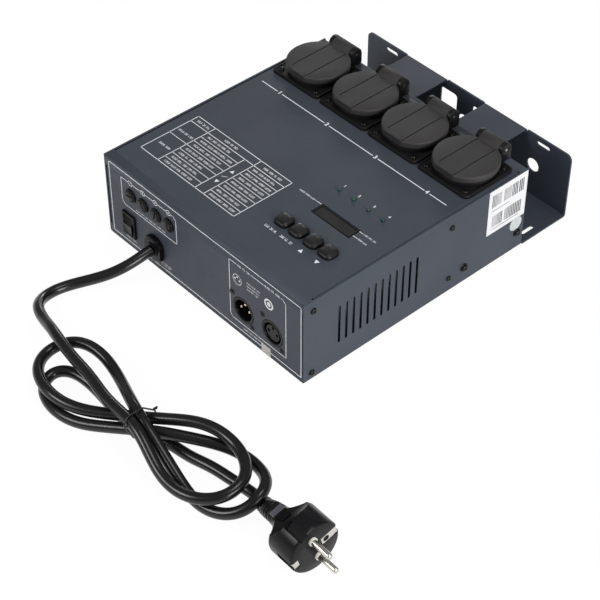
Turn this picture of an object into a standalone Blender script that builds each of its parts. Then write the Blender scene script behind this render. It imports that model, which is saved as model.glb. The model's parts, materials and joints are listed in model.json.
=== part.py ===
"""A four-channel dimmer pack in a folded sheet-metal case, with its mains cord.

Metres, +Z up. The origin is the centre of the case's footprint, on the surface that it
stands on. The connectors face -Y, the mounting bracket is at +Y.
"""

import math

import bmesh
import bpy
import numpy as np
from mathutils import Matrix, Vector

# Case and its folds
CASE_WIDTH = 0.237
CASE_DEPTH = 0.2366
CASE_HEIGHT = 0.0796
SHEET = 0.0015
PAN_FOLD = 0.0022
FRONT_FOLD = 0.0025
REAR_FOLD = 0.0020
LIP_FOLD = 0.0020
LIP_REACH = 0.010
LIP_MARGIN = 0.0085
RELIEF = 0.0016
COVER_SLIT = 0.0006
FOLD_STEPS = 3

# Clearances
SEAT = 0.0003
RUN = 0.0004
HOLE_ROOM = 0.0004

# Mounting bracket at the back
BRACKET_REACH = 0.0535
BRACKET_HEIGHT = 0.0634
PLATE_TOP = 0.0630
PLATE_CORNER = 0.0055
TAB_INNER = 0.0227
TAB_OUTER = 0.0690
PLATE_HOLE = 0.0064
PLATE_HOLE_X = 0.0798
PLATE_HOLE_Z = 0.0318
WINDOW_INNER = 0.009
WINDOW_OUTER = 0.028
WINDOW_LOW = 0.027
WINDOW_HIGH = 0.0535
WINDOW_CORNER = 0.003
PLATE_SLOT_X = 0.0885
PLATE_SLOT_Z = 0.0565
FLANGE_SLOT_X = 0.1100
FLANGE_SLOT_INSET = 0.0163
SLOT_LENGTH = 0.0142
SLOT_WIDTH = 0.0038

# Side vents
VENT_COUNT = 12
VENT_PITCH = 0.00732
VENT_FIRST = 0.0350
VENT_LOW = 0.0212
VENT_HIGH = 0.0590
VENT_WIDTH = 0.0025

# Sockets
CHANNELS = 4
SOCKET_PITCH = 0.057
SOCKET_INSET = 0.0374
SOCKET_FLANGE_WIDTH = 0.055
SOCKET_FLANGE_FRONT = 0.0279
SOCKET_FLANGE_BACK = 0.0261
SOCKET_FLANGE_THICK = 0.0025
SOCKET_CORNER = 0.0045
SOCKET_BODY = 0.0223
SOCKET_BODY_DEPTH = 0.0296
COLLAR = 0.0250
COLLAR_TOP = 0.0071
WELL = 0.0197
WELL_DEPTH = 0.0175
CONTACT_SPACING = 0.019
CONTACT_HOLE = 0.0028
CONTACT_DEPTH = 0.012
GUIDE_WIDTH = 0.0048
GUIDE_REACH = 0.0020
GUIDE_TOP = 0.0030

# Socket lids and their hinges
LID = 0.0270
LID_TOP = 0.0129
LID_BOTTOM = 0.0074
LID_ROOF = 0.0022
LID_WALL = 0.0028
LID_EDGE = 0.0011
LID_CHORD = 0.0250
GROOVE_X = 0.0095
GROOVE_WIDTH = 0.0011
GROOVE_DEPTH = 0.0006
HINGE_BACK = 0.0304
HINGE_HEIGHT = 0.0107
HINGE_BARREL = 0.0058
HOOD_HALF = 0.0103
EAR_THICK = 0.0038
HINGE_CAVITY = 0.0039
CHEEK = 0.0020
PIN = 0.0012
SPRING_WIRE = 0.00035
SPRING_TURNS = 2
SPRING_POINTS = 6

# Earth clips in the sockets
CLIP_WIDTH = 0.0050
CLIP_THICK = 0.0009
CLIP_HALF = 0.0184
CLIP_RISE = 0.0110
CLIP_LEAN = 0.0016

# Control panel on the top: insets from the case's right side
BUTTON_INSET = 0.0556
BUTTON_Y = -0.0665
BUTTON_PITCH = 0.0162
BUTTON_SIDE = 0.0138
BUTTON_CORNER = 0.0044
BUTTON_RISE = 0.0040
BUTTON_FLANGE = 0.0008
BUTTON_FLANGE_THICK = 0.0010
BUTTON_STEM = 0.0020
BUTTON_TRAVEL = 0.0012
LED_INSET = 0.0555
LED_Y = -0.0103
LED_PITCH = 0.0162
LED = 0.0015
LED_RISE = 0.0006
DISPLAY_WIDTH = 0.0427
DISPLAY_DEPTH = 0.0130
DISPLAY_INSET = 0.0551
DISPLAY_Y = -0.0370
DISPLAY_SUNK = 0.0010
BOARD = 0.0016
BOARD_DROP = 0.0105
BOARD_MARGIN = 0.0136
POST = 0.0025
SWITCH_BOX = 0.0120
SWITCH_BOX_RISE = 0.0059

# Fuse holders on the front: inset from the left side
FUSE_INSET = 0.0566
FUSE_Z = 0.0569
FUSE_PITCH = 0.0158
FUSE_RING = 0.0063
FUSE_RING_THICK = 0.0013
FUSE_BARREL = 0.0057
FUSE_BARREL_DEPTH = 0.026
FUSE_BORE = 0.0038
FUSE_HEAD = 0.0047
FUSE_HEAD_THICK = 0.0024
FUSE_NECK = 0.0034
FUSE_NECK_LENGTH = 0.008
FUSE = 0.0026
FUSE_LENGTH = 0.020
DRIVER_SLOT = 0.0012
DRIVER_SLOT_DEPTH = 0.0012
SLOT_TURNS = (14, -64, 76, 90)

# Mains switch: inset from the left side
SWITCH_INSET = 0.0285
SWITCH_Z = 0.0243
SWITCH_BEZEL_WIDTH = 0.0160
SWITCH_BEZEL_HEIGHT = 0.0235
SWITCH_BEZEL_THICK = 0.0018
SWITCH_BODY_WIDTH = 0.0138
SWITCH_BODY_HEIGHT = 0.0212
SWITCH_BODY_DEPTH = 0.022
SWITCH_WALL = 0.0010
ROCKER_RIDGE = 0.0036
ROCKER_DROP = 0.0020
ROCKER_TILT = 10
ROCKER_AXLE = 0.0015
ROCKER_AXLE_DEPTH = 0.0030

# Signal connectors: insets from the right side
SIGNAL_IN_INSET = 0.0691
SIGNAL_OUT_INSET = 0.0358
SIGNAL_Z = 0.0273
SIGNAL_NOSE = 0.0119
SIGNAL_BORE = 0.0093
SIGNAL_NECK = 0.0075
SIGNAL_CIRCLE = 0.0047
SIGNAL_PIN = 0.0012
SIGNAL_PIN_SUNK = 0.0016
SIGNAL_DEPTH = 0.0175
SIGNAL_FLOOR = 0.0030
SIGNAL_FLANGE_WIDTH = 0.026
SIGNAL_FLANGE_HEIGHT = 0.031
SIGNAL_FLANGE_THICK = 0.0020

# Cord gland: inset from the left side
GLAND_INSET = 0.0617
GLAND_Z = 0.0218
GLAND_FLANGE = 0.0120
GLAND_FLAT = 0.0097
GLAND_FLANGE_THICK = 0.0040
GLAND_COLLAR = 0.0074
GLAND_MOUTH = 0.0066
GLAND_REACH = 0.0054
GLAND_SIDES = 8
GLAND_BODY = 0.0080
GLAND_NUT = 0.0112
GLAND_NUT_THICK = 0.0050
GLAND_NUT_GAP = 0.0003

# Power board inside the case: insets from the left side and the front
POWER_BOARD_INSET = (0.0205, 0.0383)
POWER_BOARD_DEPTH = 0.1250
POWER_BOARD_Z = 0.0080
PILLAR = 0.0035
CHOKE = 0.0110
CHOKE_BORE = 0.0045
CHOKE_HEIGHT = 0.0110
CHOKE_INSET = 0.0200
CHOKE_SPACE = 0.0060
CAPACITOR = 0.0055
CAPACITOR_HEIGHT = 0.0180
CAPACITOR_PLACES = ((0.060, 0.055), (0.040, 0.055), (0.020, 0.055))
TRANSFORMER = (0.034, 0.029, 0.027)
TRANSFORMER_PLACE = (0.012, 0.040)
TERMINALS = (0.060, 0.012, 0.012)
TERMINALS_PLACE = (0.072, 0.010)

# Heat sink: insets from the right side and the front
SINK_INSET = (0.0125, 0.0353)
SINK_WIDTH = 0.0420
SINK_LENGTH = 0.0850
SINK_TO_BOARD = 0.0190
SINK_BASE = 0.0040
SINK_FIN = 0.0020
SINK_FINS = 6
SINK_HEIGHT = 0.0460

# Mains cord: the gland's mouth, the route's own points from there, then the bundle's lobes
CORD = 0.0090
CORD_EXIT = (-0.0568, -0.1237)
CORD_POINTS = 269
CORD_SOFTENING = 9
CORD_EVERY = 2
LEAD_ROUTE = (
    (-0.0568, -0.1237, 0.0218),
    (-0.0568, -0.1294, 0.0216),
    (-0.0567, -0.1350, 0.0206),
    (-0.0569, -0.1400, 0.0189),
    (-0.0588, -0.1483, 0.0164),
    (-0.0615, -0.1552, 0.0140),
    (-0.0651, -0.1618, 0.0116),
    (-0.0743, -0.1734, 0.0077),
    (-0.0824, -0.1859, 0.0056),
    (-0.0868, -0.1980, 0.0048),
    (-0.0872, -0.2085, 0.0048),
    (-0.0820, -0.2155, 0.0060),
    (-0.0709, -0.2267, 0.0158),
    (-0.0537, -0.2303, 0.0140),
    (-0.0409, -0.2342, 0.0226),
    (-0.0214, -0.2399, 0.0267),
    (-0.0003, -0.2437, 0.0248),
    (0.0237, -0.2449, 0.0261),
    (0.0503, -0.2512, 0.0251),
)
BUNDLE_STARTS_Y = -0.2135
WAIST = (
    (0.0923, -0.2539, 0.0312),
    (0.0729, -0.2410, 0.0159),
    (0.0783, -0.2439, 0.0298),
    (0.0963, -0.2383, 0.0176),
    (0.0726, -0.2454, 0.0063),
)
LOBES = (
    (0.1412, -0.2353, 0.0387, 0.0289, 2.1, (0.0131, 0.0156, 0.0218, 0.0209, 0.0265)),
    (0.0096, -0.2463, 0.0394, 0.0276, -3.1, (0.0129, 0.0155, 0.0115, 0.0201, 0.0115)),
    (0.1594, -0.2287, 0.0360, 0.0261, -2.0, (0.0026, 0.0086, 0.0242, 0.0113, 0.0134)),
    (0.0178, -0.2575, 0.0336, 0.0190, -3.1, (0.0053, 0.0050, 0.0040, 0.0094, 0.0039)),
)
LOBE_POINTS = 9
TAIL_ROUTE = (
    (0.1033, -0.2318, 0.0072),
    (0.1198, -0.2315, 0.0025),
    (0.1362, -0.2251, 0.0072),
    (0.1523, -0.2224, 0.0040),
    (0.1669, -0.2213, 0.0048),
    (0.1785, -0.2162, 0.0043),
)
BOOT_START = (0.1910, -0.2213, 0.0076)

# Wire tie round the bundle's waist
TIE_WIRE = 0.00065
TIE_AT = (0.083, -0.246)
TIE_TURN = 8.7
TIE_POINTS = 22
TIE_START = 40
TIE_PITCH = 0.0020
TIE_TAIL = 0.006

# Mains plug
PLUG_FACE = (0.2527, -0.2289, 0.0222)
PLUG_YAW = -2
PLUG_PITCH = -2
PLUG_ROLL = 16
PLUG = 0.0210
PLUG_DRUM = 0.0250
PLUG_FLARE = 0.0145
PLUG_NECK = 0.0082
PLUG_EDGE = 0.0018
PLUG_PIN = 0.0024
PLUG_PIN_LENGTH = 0.0190
PLUG_PIN_ROOT = 0.0100
PLUG_GUIDE_WIDTH = 0.0074
PLUG_GUIDE_DEPTH = 0.0034
PLUG_GUIDE_LENGTH = 0.0170
BOOT_RIBS = 7
BOOT_END = 0.0062
BOOT_RIB = 0.0010
STRAP_WIDTH = 0.0070
STRAP_THICK = 0.0009
STRAP_HALF = 0.0195
STRAP_ARM = 0.0150
STRAP_LINK = 0.0100
STRAP_FACE = 0.0135
STRAP_TAB = 0.0045
STRAP_HOLE = 0.0025
STRAP_HOLE_Y = 0.0100

RIGHT = CASE_WIDTH / 2
LEFT = -CASE_WIDTH / 2
FRONT = -CASE_DEPTH / 2
REAR = CASE_DEPTH / 2
PLATE = REAR + BRACKET_REACH
COVER_HALF = CASE_WIDTH / 2 - SHEET - SEAT
SOCKET_Y = REAR - SOCKET_INSET
EAR_HALF = HOOD_HALF + SEAT + EAR_THICK
BOARD_TOP = CASE_HEIGHT - SHEET - BOARD_DROP
BUTTON_X = RIGHT - BUTTON_INSET
LED_X = RIGHT - LED_INSET
DISPLAY_X = RIGHT - DISPLAY_INSET
FUSE_X = LEFT + FUSE_INSET
SWITCH_X = LEFT + SWITCH_INSET
SIGNAL_IN_X = RIGHT - SIGNAL_IN_INSET
SIGNAL_OUT_X = RIGHT - SIGNAL_OUT_INSET
GLAND_X = LEFT + GLAND_INSET
CORD_MOVE = Vector((GLAND_X - CORD_EXIT[0], FRONT - GLAND_REACH - CORD_EXIT[1], 0))

PARTS = "dimmer_pack"
TOOLS = "cutters"


def start():
    """An empty scene with one collection for the parts and one for the cutters."""
    for obj in list(bpy.data.objects):
        bpy.data.objects.remove(obj, do_unlink=True)
    for name in (PARTS, TOOLS):
        bpy.context.scene.collection.children.link(bpy.data.collections.new(name))


def material(name, colour, roughness, metallic=0.0):
    """A Principled material, made once for each name."""
    found = bpy.data.materials.get(name)
    if found:
        return found
    made = bpy.data.materials.new(name)
    made.use_nodes = True
    shader = made.node_tree.nodes["Principled BSDF"]
    shader.inputs["Base Color"].default_value = (*colour, 1.0)
    shader.inputs["Roughness"].default_value = roughness
    shader.inputs["Metallic"].default_value = metallic
    return made


def coated_steel():
    return material("coated_steel", (0.055, 0.058, 0.066), 0.55, 0.2)


def black_plastic():
    return material("black_plastic", (0.012, 0.012, 0.013), 0.45)


def black_rubber():
    return material("black_rubber", (0.010, 0.010, 0.011), 0.35)


def nickel():
    return material("nickel", (0.62, 0.60, 0.56), 0.28, 1.0)


def spring_steel():
    return material("spring_steel", (0.45, 0.45, 0.46), 0.3, 1.0)


def glass_tube():
    return material("glass_tube", (0.55, 0.56, 0.55), 0.1)


def green_lens():
    return material("green_lens", (0.10, 0.30, 0.18), 0.2)


def dark_acrylic():
    return material("dark_acrylic", (0.010, 0.010, 0.014), 0.12)


def circuit_board():
    return material("circuit_board", (0.02, 0.11, 0.05), 0.5)


def aluminium():
    return material("aluminium", (0.55, 0.56, 0.57), 0.4, 1.0)


def link(name, mesh, finish, location=(0, 0, 0), rotation=(0, 0, 0)):
    """A part of the model, from a mesh and its finish."""
    obj = bpy.data.objects.new(name, mesh)
    obj.location = location
    obj.rotation_euler = rotation
    bpy.data.collections[PARTS].objects.link(obj)
    mesh.materials.clear()
    mesh.materials.append(finish)
    return obj


def tool(name, mesh, location=(0, 0, 0), rotation=(0, 0, 0)):
    """A cutter, or a shape to be joined: the build leaves it out."""
    obj = bpy.data.objects.new(name, mesh)
    obj.location = location
    obj.rotation_euler = rotation
    obj.hide_render = True
    obj.display_type = "WIRE"
    bpy.data.collections[TOOLS].objects.link(obj)
    return obj


def as_mesh(name, bm):
    """A mesh from a bmesh whose closed shapes all face outwards."""
    bmesh.ops.recalc_face_normals(bm, faces=bm.faces)
    mesh = bpy.data.meshes.new(name)
    bm.to_mesh(mesh)
    bm.free()
    return mesh


def boolean(obj, other, operation="DIFFERENCE"):
    """Cut, join or keep with another object."""
    step = obj.modifiers.new(other.name, "BOOLEAN")
    step.operation = operation
    step.solver = "EXACT"
    step.object = other


def baked(obj):
    """The mesh of an object with its modifiers, in its own frame. The object goes."""
    bpy.context.view_layer.update()
    graph = bpy.context.evaluated_depsgraph_get()
    mesh = bpy.data.meshes.new_from_object(obj.evaluated_get(graph), depsgraph=graph)
    bpy.data.objects.remove(obj, do_unlink=True)
    return mesh


def shade(mesh, angle=35):
    """Smooth shading with creases."""
    mesh.shade_smooth()
    mesh.set_sharp_from_angle(angle=math.radians(angle))
    return mesh


def block(bm, low, high):
    """A box between two corners."""
    low, high = Vector(low), Vector(high)
    matrix = Matrix.LocRotScale((low + high) / 2, None, high - low)
    bmesh.ops.create_cube(bm, size=1.0, matrix=matrix)


def rod(bm, radius, start_at, end_at, sides=24, end_radius=None):
    """A cylinder or cone between two points."""
    start_at, end_at = Vector(start_at), Vector(end_at)
    along = end_at - start_at
    matrix = Matrix.LocRotScale((start_at + end_at) / 2, along.to_track_quat("Z", "Y"), None)
    bmesh.ops.create_cone(
        bm,
        cap_ends=True,
        segments=sides,
        radius1=radius,
        radius2=radius if end_radius is None else end_radius,
        depth=along.length,
        matrix=matrix,
    )


def prism(bm, outline, push):
    """A flat outline of points, pushed along a vector."""
    face = bm.faces.new([bm.verts.new(point) for point in outline])
    grown = bmesh.ops.extrude_face_region(bm, geom=[face])["geom"]
    moved = [item for item in grown if isinstance(item, bmesh.types.BMVert)]
    bmesh.ops.translate(bm, verts=moved, vec=push)


def arc(centre, radius, first, last, steps):
    """Points in a plane from one angle to another, in degrees."""
    angles = [math.radians(first + (last - first) * i / steps) for i in range(steps + 1)]
    return [(centre[0] + radius * math.cos(a), centre[1] + radius * math.sin(a)) for a in angles]


def rounded_rectangle(low, high, corner, steps=3):
    """Outline of a rectangle with round corners, anticlockwise."""
    points = arc((high[0] - corner, high[1] - corner), corner, 0, 90, steps)
    points += arc((low[0] + corner, high[1] - corner), corner, 90, 180, steps)
    points += arc((low[0] + corner, low[1] + corner), corner, 180, 270, steps)
    points += arc((high[0] - corner, low[1] + corner), corner, 270, 360, steps)
    return points


def slot_outline(centre, length, width, upright=False, steps=4):
    """Outline of a slot with round ends."""
    run = (length - width) / 2
    points = arc((run, 0), width / 2, -90, 90, steps) + arc((-run, 0), width / 2, 90, 270, steps)
    if upright:
        points = [(-y, x) for x, y in points]
    return [(centre[0] + x, centre[1] + y) for x, y in points]


def turned(name, profile, steps, closed=False):
    """A profile of (radius, height) turned about Z, down its outer side."""
    bm = bmesh.new()
    verts = [bm.verts.new((radius, 0, height)) for radius, height in profile]
    pairs = list(zip(verts, verts[1:]))
    if closed:
        pairs.append((verts[-1], verts[0]))
    for pair in pairs:
        bm.edges.new(pair)
    mesh = bpy.data.meshes.new(name)
    bm.to_mesh(mesh)
    bm.free()
    obj = bpy.data.objects.new(name, mesh)
    bpy.data.collections[TOOLS].objects.link(obj)
    screw = obj.modifiers.new("Turn", "SCREW")
    screw.steps = steps
    screw.render_steps = steps
    screw.use_merge_vertices = True
    screw.merge_threshold = 0.00001
    return baked(obj)


def pull(bm, edges, steps):
    """Extrude edges through a list of moves, and give the last row of edges."""
    for step in steps:
        grown = bmesh.ops.extrude_edge_only(bm, edges=edges)["geom"]
        verts = [item for item in grown if isinstance(item, bmesh.types.BMVert)]
        row = set(verts)
        edges = [
            item
            for item in grown
            if isinstance(item, bmesh.types.BMEdge) and row.issuperset(item.verts)
        ]
        bmesh.ops.translate(bm, verts=verts, vec=step)
    return edges


def fold(radius, heading, turning, steps=FOLD_STEPS):
    """The moves round a quarter fold, from one heading to another."""
    heading, turning = Vector(heading), Vector(turning)
    angles = [math.pi / 2 * i / steps for i in range(steps + 1)]
    points = [
        radius * (heading * math.sin(a) + turning * (1 - math.cos(a))) for a in angles
    ]
    return [after - before for before, after in zip(points, points[1:])]


def between(value, low, high, slack=0.00001):
    return low - slack <= value <= high + slack


def centre_of(item):
    """Middle of an edge or a face."""
    total = Vector()
    for vert in item.verts:
        total += vert.co
    return total / len(item.verts)


def solid_sheet(name, bm, outward_test):
    """A folded outer surface given its thickness on the inside."""
    bm.faces.ensure_lookup_table()
    if outward_test(bm):
        bmesh.ops.reverse_faces(bm, faces=bm.faces)
    mesh = bpy.data.meshes.new(name)
    bm.to_mesh(mesh)
    bm.free()
    obj = link(name, mesh, coated_steel())
    wall = obj.modifiers.new("Sheet", "SOLIDIFY")
    wall.thickness = SHEET
    wall.offset = -1
    wall.use_even_offset = True
    return obj


def make_base_pan():
    """Bottom, both sides and the bracket, folded from one sheet."""
    bm = bmesh.new()
    half = CASE_WIDTH / 2
    flat = half - PAN_FOLD
    marks = [TAB_INNER - RELIEF, TAB_INNER, TAB_OUTER, TAB_OUTER + RELIEF]
    across = [-flat] + [-m for m in reversed(marks)] + marks + [flat]
    right = [(half, CASE_HEIGHT)] + arc((flat, PAN_FOLD), PAN_FOLD, 0, -90, FOLD_STEPS)
    left = [(-x, z) for x, z in reversed(right)]
    section = right[:-1] + [(x, 0.0) for x in reversed(across)] + left[1:]
    verts = [bm.verts.new((x, FRONT, z)) for x, z in section]
    edges = [bm.edges.new(pair) for pair in zip(verts, verts[1:])]
    edges = pull(bm, edges, [(0, CASE_DEPTH, 0)])

    floor = [e for e in edges if all(between(v.co.z, 0, 0) for v in e.verts)]
    run = BRACKET_REACH - RELIEF - PAN_FOLD
    moves = [(0, RELIEF, 0), (0, run, 0)]
    moves += fold(PAN_FOLD, (0, 1, 0), (0, 0, 1))
    moves += [(0, 0, BRACKET_HEIGHT - 2 * PAN_FOLD)]
    top = pull(bm, floor, moves)

    tabs = [e for e in top if between(abs(centre_of(e).x), TAB_INNER, TAB_OUTER)]
    slits = [e for e in top if between(abs(centre_of(e).x), TAB_INNER - RELIEF, TAB_INNER)]
    slits += [e for e in top if between(abs(centre_of(e).x), TAB_OUTER, TAB_OUTER + RELIEF)]
    plate = [e for e in top if e not in tabs and e not in slits]
    reach = BRACKET_REACH - PAN_FOLD - SEAT
    pull(bm, tabs, fold(PAN_FOLD, (0, 0, 1), (0, -1, 0)) + [Vector((0, -reach, 0))])
    pull(bm, plate, [(0, 0, PLATE_TOP - BRACKET_HEIGHT + PAN_FOLD)])

    for side in (-1, 1):
        rim = [
            e
            for e in bm.edges
            if e.is_boundary
            and all(between(v.co.x, side * flat, side * flat) for v in e.verts)
            and all(v.co.y > REAR + RELIEF / 2 for v in e.verts)
        ]
        pull(bm, rim, [(side * PAN_FOLD, 0, 0)])

    def faces_up(sheet):
        return next(f for f in sheet.faces if centre_of(f).z < SHEET / 100).normal.z > 0

    bm.normal_update()
    pan = solid_sheet("base_pan", bm, faces_up)
    boolean(pan, vent_cutter())
    boolean(pan, bracket_cutter())
    return pan


def vent_cutter():
    """The rows of slots in both side walls."""
    bm = bmesh.new()
    outside = CASE_WIDTH / 2 + SHEET
    middle = (VENT_LOW + VENT_HIGH) / 2
    for i in range(VENT_COUNT):
        y = FRONT + VENT_FIRST + i * VENT_PITCH
        outline = slot_outline((y, middle), VENT_HIGH - VENT_LOW, VENT_WIDTH, True, 3)
        prism(bm, [(-outside, y, z) for y, z in outline], (2 * outside, 0, 0))
    return tool("vent_cutter", as_mesh("vent_cutter", bm))


def bracket_cutter():
    """Windows, holes, slots and corners of the bracket."""
    bm = bmesh.new()
    depth = (0, 4 * SHEET, 0)
    near = PLATE - 2 * SHEET
    for side in (-1, 1):
        x = sorted((side * WINDOW_INNER, side * WINDOW_OUTER))
        low, high = (x[0], WINDOW_LOW), (x[1], WINDOW_HIGH)
        outline = rounded_rectangle(low, high, WINDOW_CORNER)
        prism(bm, [(px, near, pz) for px, pz in outline], depth)
        outline = slot_outline((side * PLATE_SLOT_X, PLATE_SLOT_Z), SLOT_LENGTH, SLOT_WIDTH)
        prism(bm, [(px, near, pz) for px, pz in outline], depth)
        y = PLATE - BRACKET_REACH + FLANGE_SLOT_INSET
        outline = slot_outline((side * FLANGE_SLOT_X, y), SLOT_LENGTH, SLOT_WIDTH, True)
        prism(bm, [(px, py, -SHEET) for px, py in outline], (0, 0, 4 * SHEET))
        half = CASE_WIDTH / 2
        inner = half - PLATE_CORNER
        low = PLATE_TOP - PLATE_CORNER
        corner = arc((side * inner, low), PLATE_CORNER, 90, 90 - side * 90, 5)
        outline = [(side * inner, PLATE_TOP + SHEET), *corner]
        outline += [(side * (half + SHEET), low), (side * (half + SHEET), PLATE_TOP + SHEET)]
        prism(bm, [(px, near, pz) for px, pz in outline], depth)
    for x in (-PLATE_HOLE_X, 0, PLATE_HOLE_X):
        ends = (x, near, PLATE_HOLE_Z), (x, near + depth[1], PLATE_HOLE_Z)
        rod(bm, PLATE_HOLE, *ends, sides=20)
    return tool("bracket_cutter", as_mesh("bracket_cutter", bm))


def flat_moves(heading, length):
    """Moves along a flat wall, with rows where its side lips start and stop."""
    edge = LIP_MARGIN - RELIEF
    lengths = [edge, RELIEF, length - 2 * LIP_MARGIN, RELIEF, edge]
    return [Vector(heading) * step for step in lengths]


def make_top_cover():
    """Front, top and rear in one folded sheet, with lips inside the pan's sides."""
    bm = bmesh.new()
    low = SHEET + COVER_SLIT
    inner = COVER_HALF - LIP_FOLD
    verts = [bm.verts.new((x, FRONT, low)) for x in (-COVER_HALF, -inner, inner, COVER_HALF)]
    edges = [bm.edges.new(pair) for pair in zip(verts, verts[1:])]
    front_run = CASE_HEIGHT - FRONT_FOLD - low
    top_run = CASE_DEPTH - FRONT_FOLD - REAR_FOLD
    rear_run = CASE_HEIGHT - REAR_FOLD - low
    moves = flat_moves((0, 0, 1), front_run)
    moves += fold(FRONT_FOLD, (0, 0, 1), (0, 1, 0))
    moves += flat_moves((0, 1, 0), top_run)
    moves += fold(REAR_FOLD, (0, 1, 0), (0, 0, -1))
    moves += flat_moves((0, 0, -1), rear_run)
    pull(bm, edges, moves)

    # Each wall: where it lies, the range that its lips take, and its inward direction
    z_range = (low + LIP_MARGIN, CASE_HEIGHT - FRONT_FOLD - LIP_MARGIN)
    z_range_rear = (low + LIP_MARGIN, CASE_HEIGHT - REAR_FOLD - LIP_MARGIN)
    y_range = (FRONT + FRONT_FOLD + LIP_MARGIN, REAR - REAR_FOLD - LIP_MARGIN)
    walls = (
        (1, FRONT, 2, z_range, (0, 1, 0)),
        (2, CASE_HEIGHT, 1, y_range, (0, 0, -1)),
        (1, REAR, 2, z_range_rear, (0, -1, 0)),
    )
    for axis, place, along, (first, last), inward in walls:
        outer = []
        for face in bm.faces:
            middle = centre_of(face)
            if abs(middle.x) < inner or not between(middle[axis], place, place):
                continue
            if between(middle[along], first - RELIEF, last + RELIEF):
                outer.append(face)
        bmesh.ops.delete(bm, geom=outer, context="FACES")
        for side in (-1, 1):
            rim = [
                e
                for e in bm.edges
                if e.is_boundary
                and all(between(v.co.x, side * inner, side * inner) for v in e.verts)
                and all(between(v.co[axis], place, place) for v in e.verts)
                and all(between(v.co[along], first, last) for v in e.verts)
            ]
            lip = fold(LIP_FOLD, (side, 0, 0), inward)
            lip += [Vector(inward) * (LIP_REACH - LIP_FOLD)]
            pull(bm, rim, lip)

    def faces_in(sheet):
        top = [f for f in sheet.faces if between(centre_of(f).z, CASE_HEIGHT, CASE_HEIGHT)]
        return top[0].normal.z < 0

    bm.normal_update()
    cover = solid_sheet("top_cover", bm, faces_in)
    boolean(cover, top_cutter())
    boolean(cover, front_cutter())
    return cover


def row(middle, pitch):
    """Positions of the four channels' pieces, left to right."""
    return [middle + pitch * (i - (CHANNELS - 1) / 2) for i in range(CHANNELS)]


def top_cutter():
    """Openings in the top: sockets, buttons, lamps and the display."""
    bm = bmesh.new()
    low = CASE_HEIGHT - 3 * SHEET
    push = (0, 0, 6 * SHEET)
    for x in row(0, SOCKET_PITCH):
        place = Vector((x, SOCKET_Y, low))
        rod(bm, SOCKET_BODY + HOLE_ROOM, place, place + Vector(push), sides=24)
    side = BUTTON_SIDE / 2 + RUN
    for x in row(BUTTON_X, BUTTON_PITCH):
        corner = BUTTON_CORNER + RUN
        outline = rounded_rectangle(
            (x - side, BUTTON_Y - side), (x + side, BUTTON_Y + side), corner
        )
        prism(bm, [(px, py, low) for px, py in outline], push)
    for x in row(LED_X, LED_PITCH):
        place = Vector((x, LED_Y, low))
        rod(bm, LED + SEAT, place, place + Vector(push), sides=10)
    half = Vector((DISPLAY_WIDTH / 2 + SEAT, DISPLAY_DEPTH / 2 + SEAT, 3 * SHEET))
    middle = Vector((DISPLAY_X, DISPLAY_Y, CASE_HEIGHT))
    block(bm, middle - half, middle + half)
    return tool("top_cutter", as_mesh("top_cutter", bm))


def front_cutter():
    """Openings in the front: fuses, switch, connectors and the gland."""
    bm = bmesh.new()
    near = FRONT - 2 * SHEET
    far = FRONT + 3 * SHEET
    for x in row(FUSE_X, FUSE_PITCH):
        ends = (x, near, FUSE_Z), (x, far, FUSE_Z)
        rod(bm, FUSE_BARREL + SEAT, *ends, sides=16)
    for x in (SIGNAL_IN_X, SIGNAL_OUT_X):
        ends = (x, near, SIGNAL_Z), (x, far, SIGNAL_Z)
        rod(bm, SIGNAL_NOSE + SEAT, *ends, sides=24)
    ends = (GLAND_X, near, GLAND_Z), (GLAND_X, far, GLAND_Z)
    rod(bm, GLAND_BODY + SEAT, *ends, sides=16)
    half_x = SWITCH_BODY_WIDTH / 2 + SEAT
    half_z = SWITCH_BODY_HEIGHT / 2 + SEAT
    block(
        bm,
        (SWITCH_X - half_x, near, SWITCH_Z - half_z),
        (SWITCH_X + half_x, far, SWITCH_Z + half_z),
    )
    return tool("front_cutter", as_mesh("front_cutter", bm))


def socket_flange():
    """The plate on the case's top, with a tongue that carries the hinge ears."""
    bm = bmesh.new()
    half = SOCKET_FLANGE_WIDTH / 2
    outline = rounded_rectangle(
        (-half, -SOCKET_FLANGE_FRONT), (half, SOCKET_FLANGE_BACK), SOCKET_CORNER
    )
    prism(bm, [(x, y, SEAT) for x, y in outline], (0, 0, SOCKET_FLANGE_THICK))
    top = SEAT + SOCKET_FLANGE_THICK
    rims = [e for e in bm.edges if all(v.co.z > top - 0.00001 for v in e.verts)]
    bmesh.ops.bevel(bm, geom=rims, offset=0.0008, segments=1, affect="EDGES")
    return as_mesh("socket_flange", bm)


def hinge_ear(side):
    """One ear: a post with a round head, on the tongue."""
    bm = bmesh.new()
    foot = SEAT + SOCKET_FLANGE_THICK / 2
    head = arc((HINGE_BACK, HINGE_HEIGHT), HINGE_BARREL, 0, 180, 8)
    outline = [(HINGE_BACK + HINGE_BARREL, foot), *head, (HINGE_BACK - HINGE_BARREL, foot)]
    near = side * (HOOD_HALF + SEAT)
    prism(bm, [(near, y, z) for y, z in outline], (side * EAR_THICK, 0, 0))
    return as_mesh("hinge_ear", bm)


def socket_tongue():
    bm = bmesh.new()
    low = (-EAR_HALF, SOCKET_FLANGE_BACK - SOCKET_CORNER, SEAT)
    high = (EAR_HALF, HINGE_BACK + HINGE_BARREL, SEAT + SOCKET_FLANGE_THICK)
    block(bm, low, high)
    return as_mesh("socket_tongue", bm)


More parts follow.
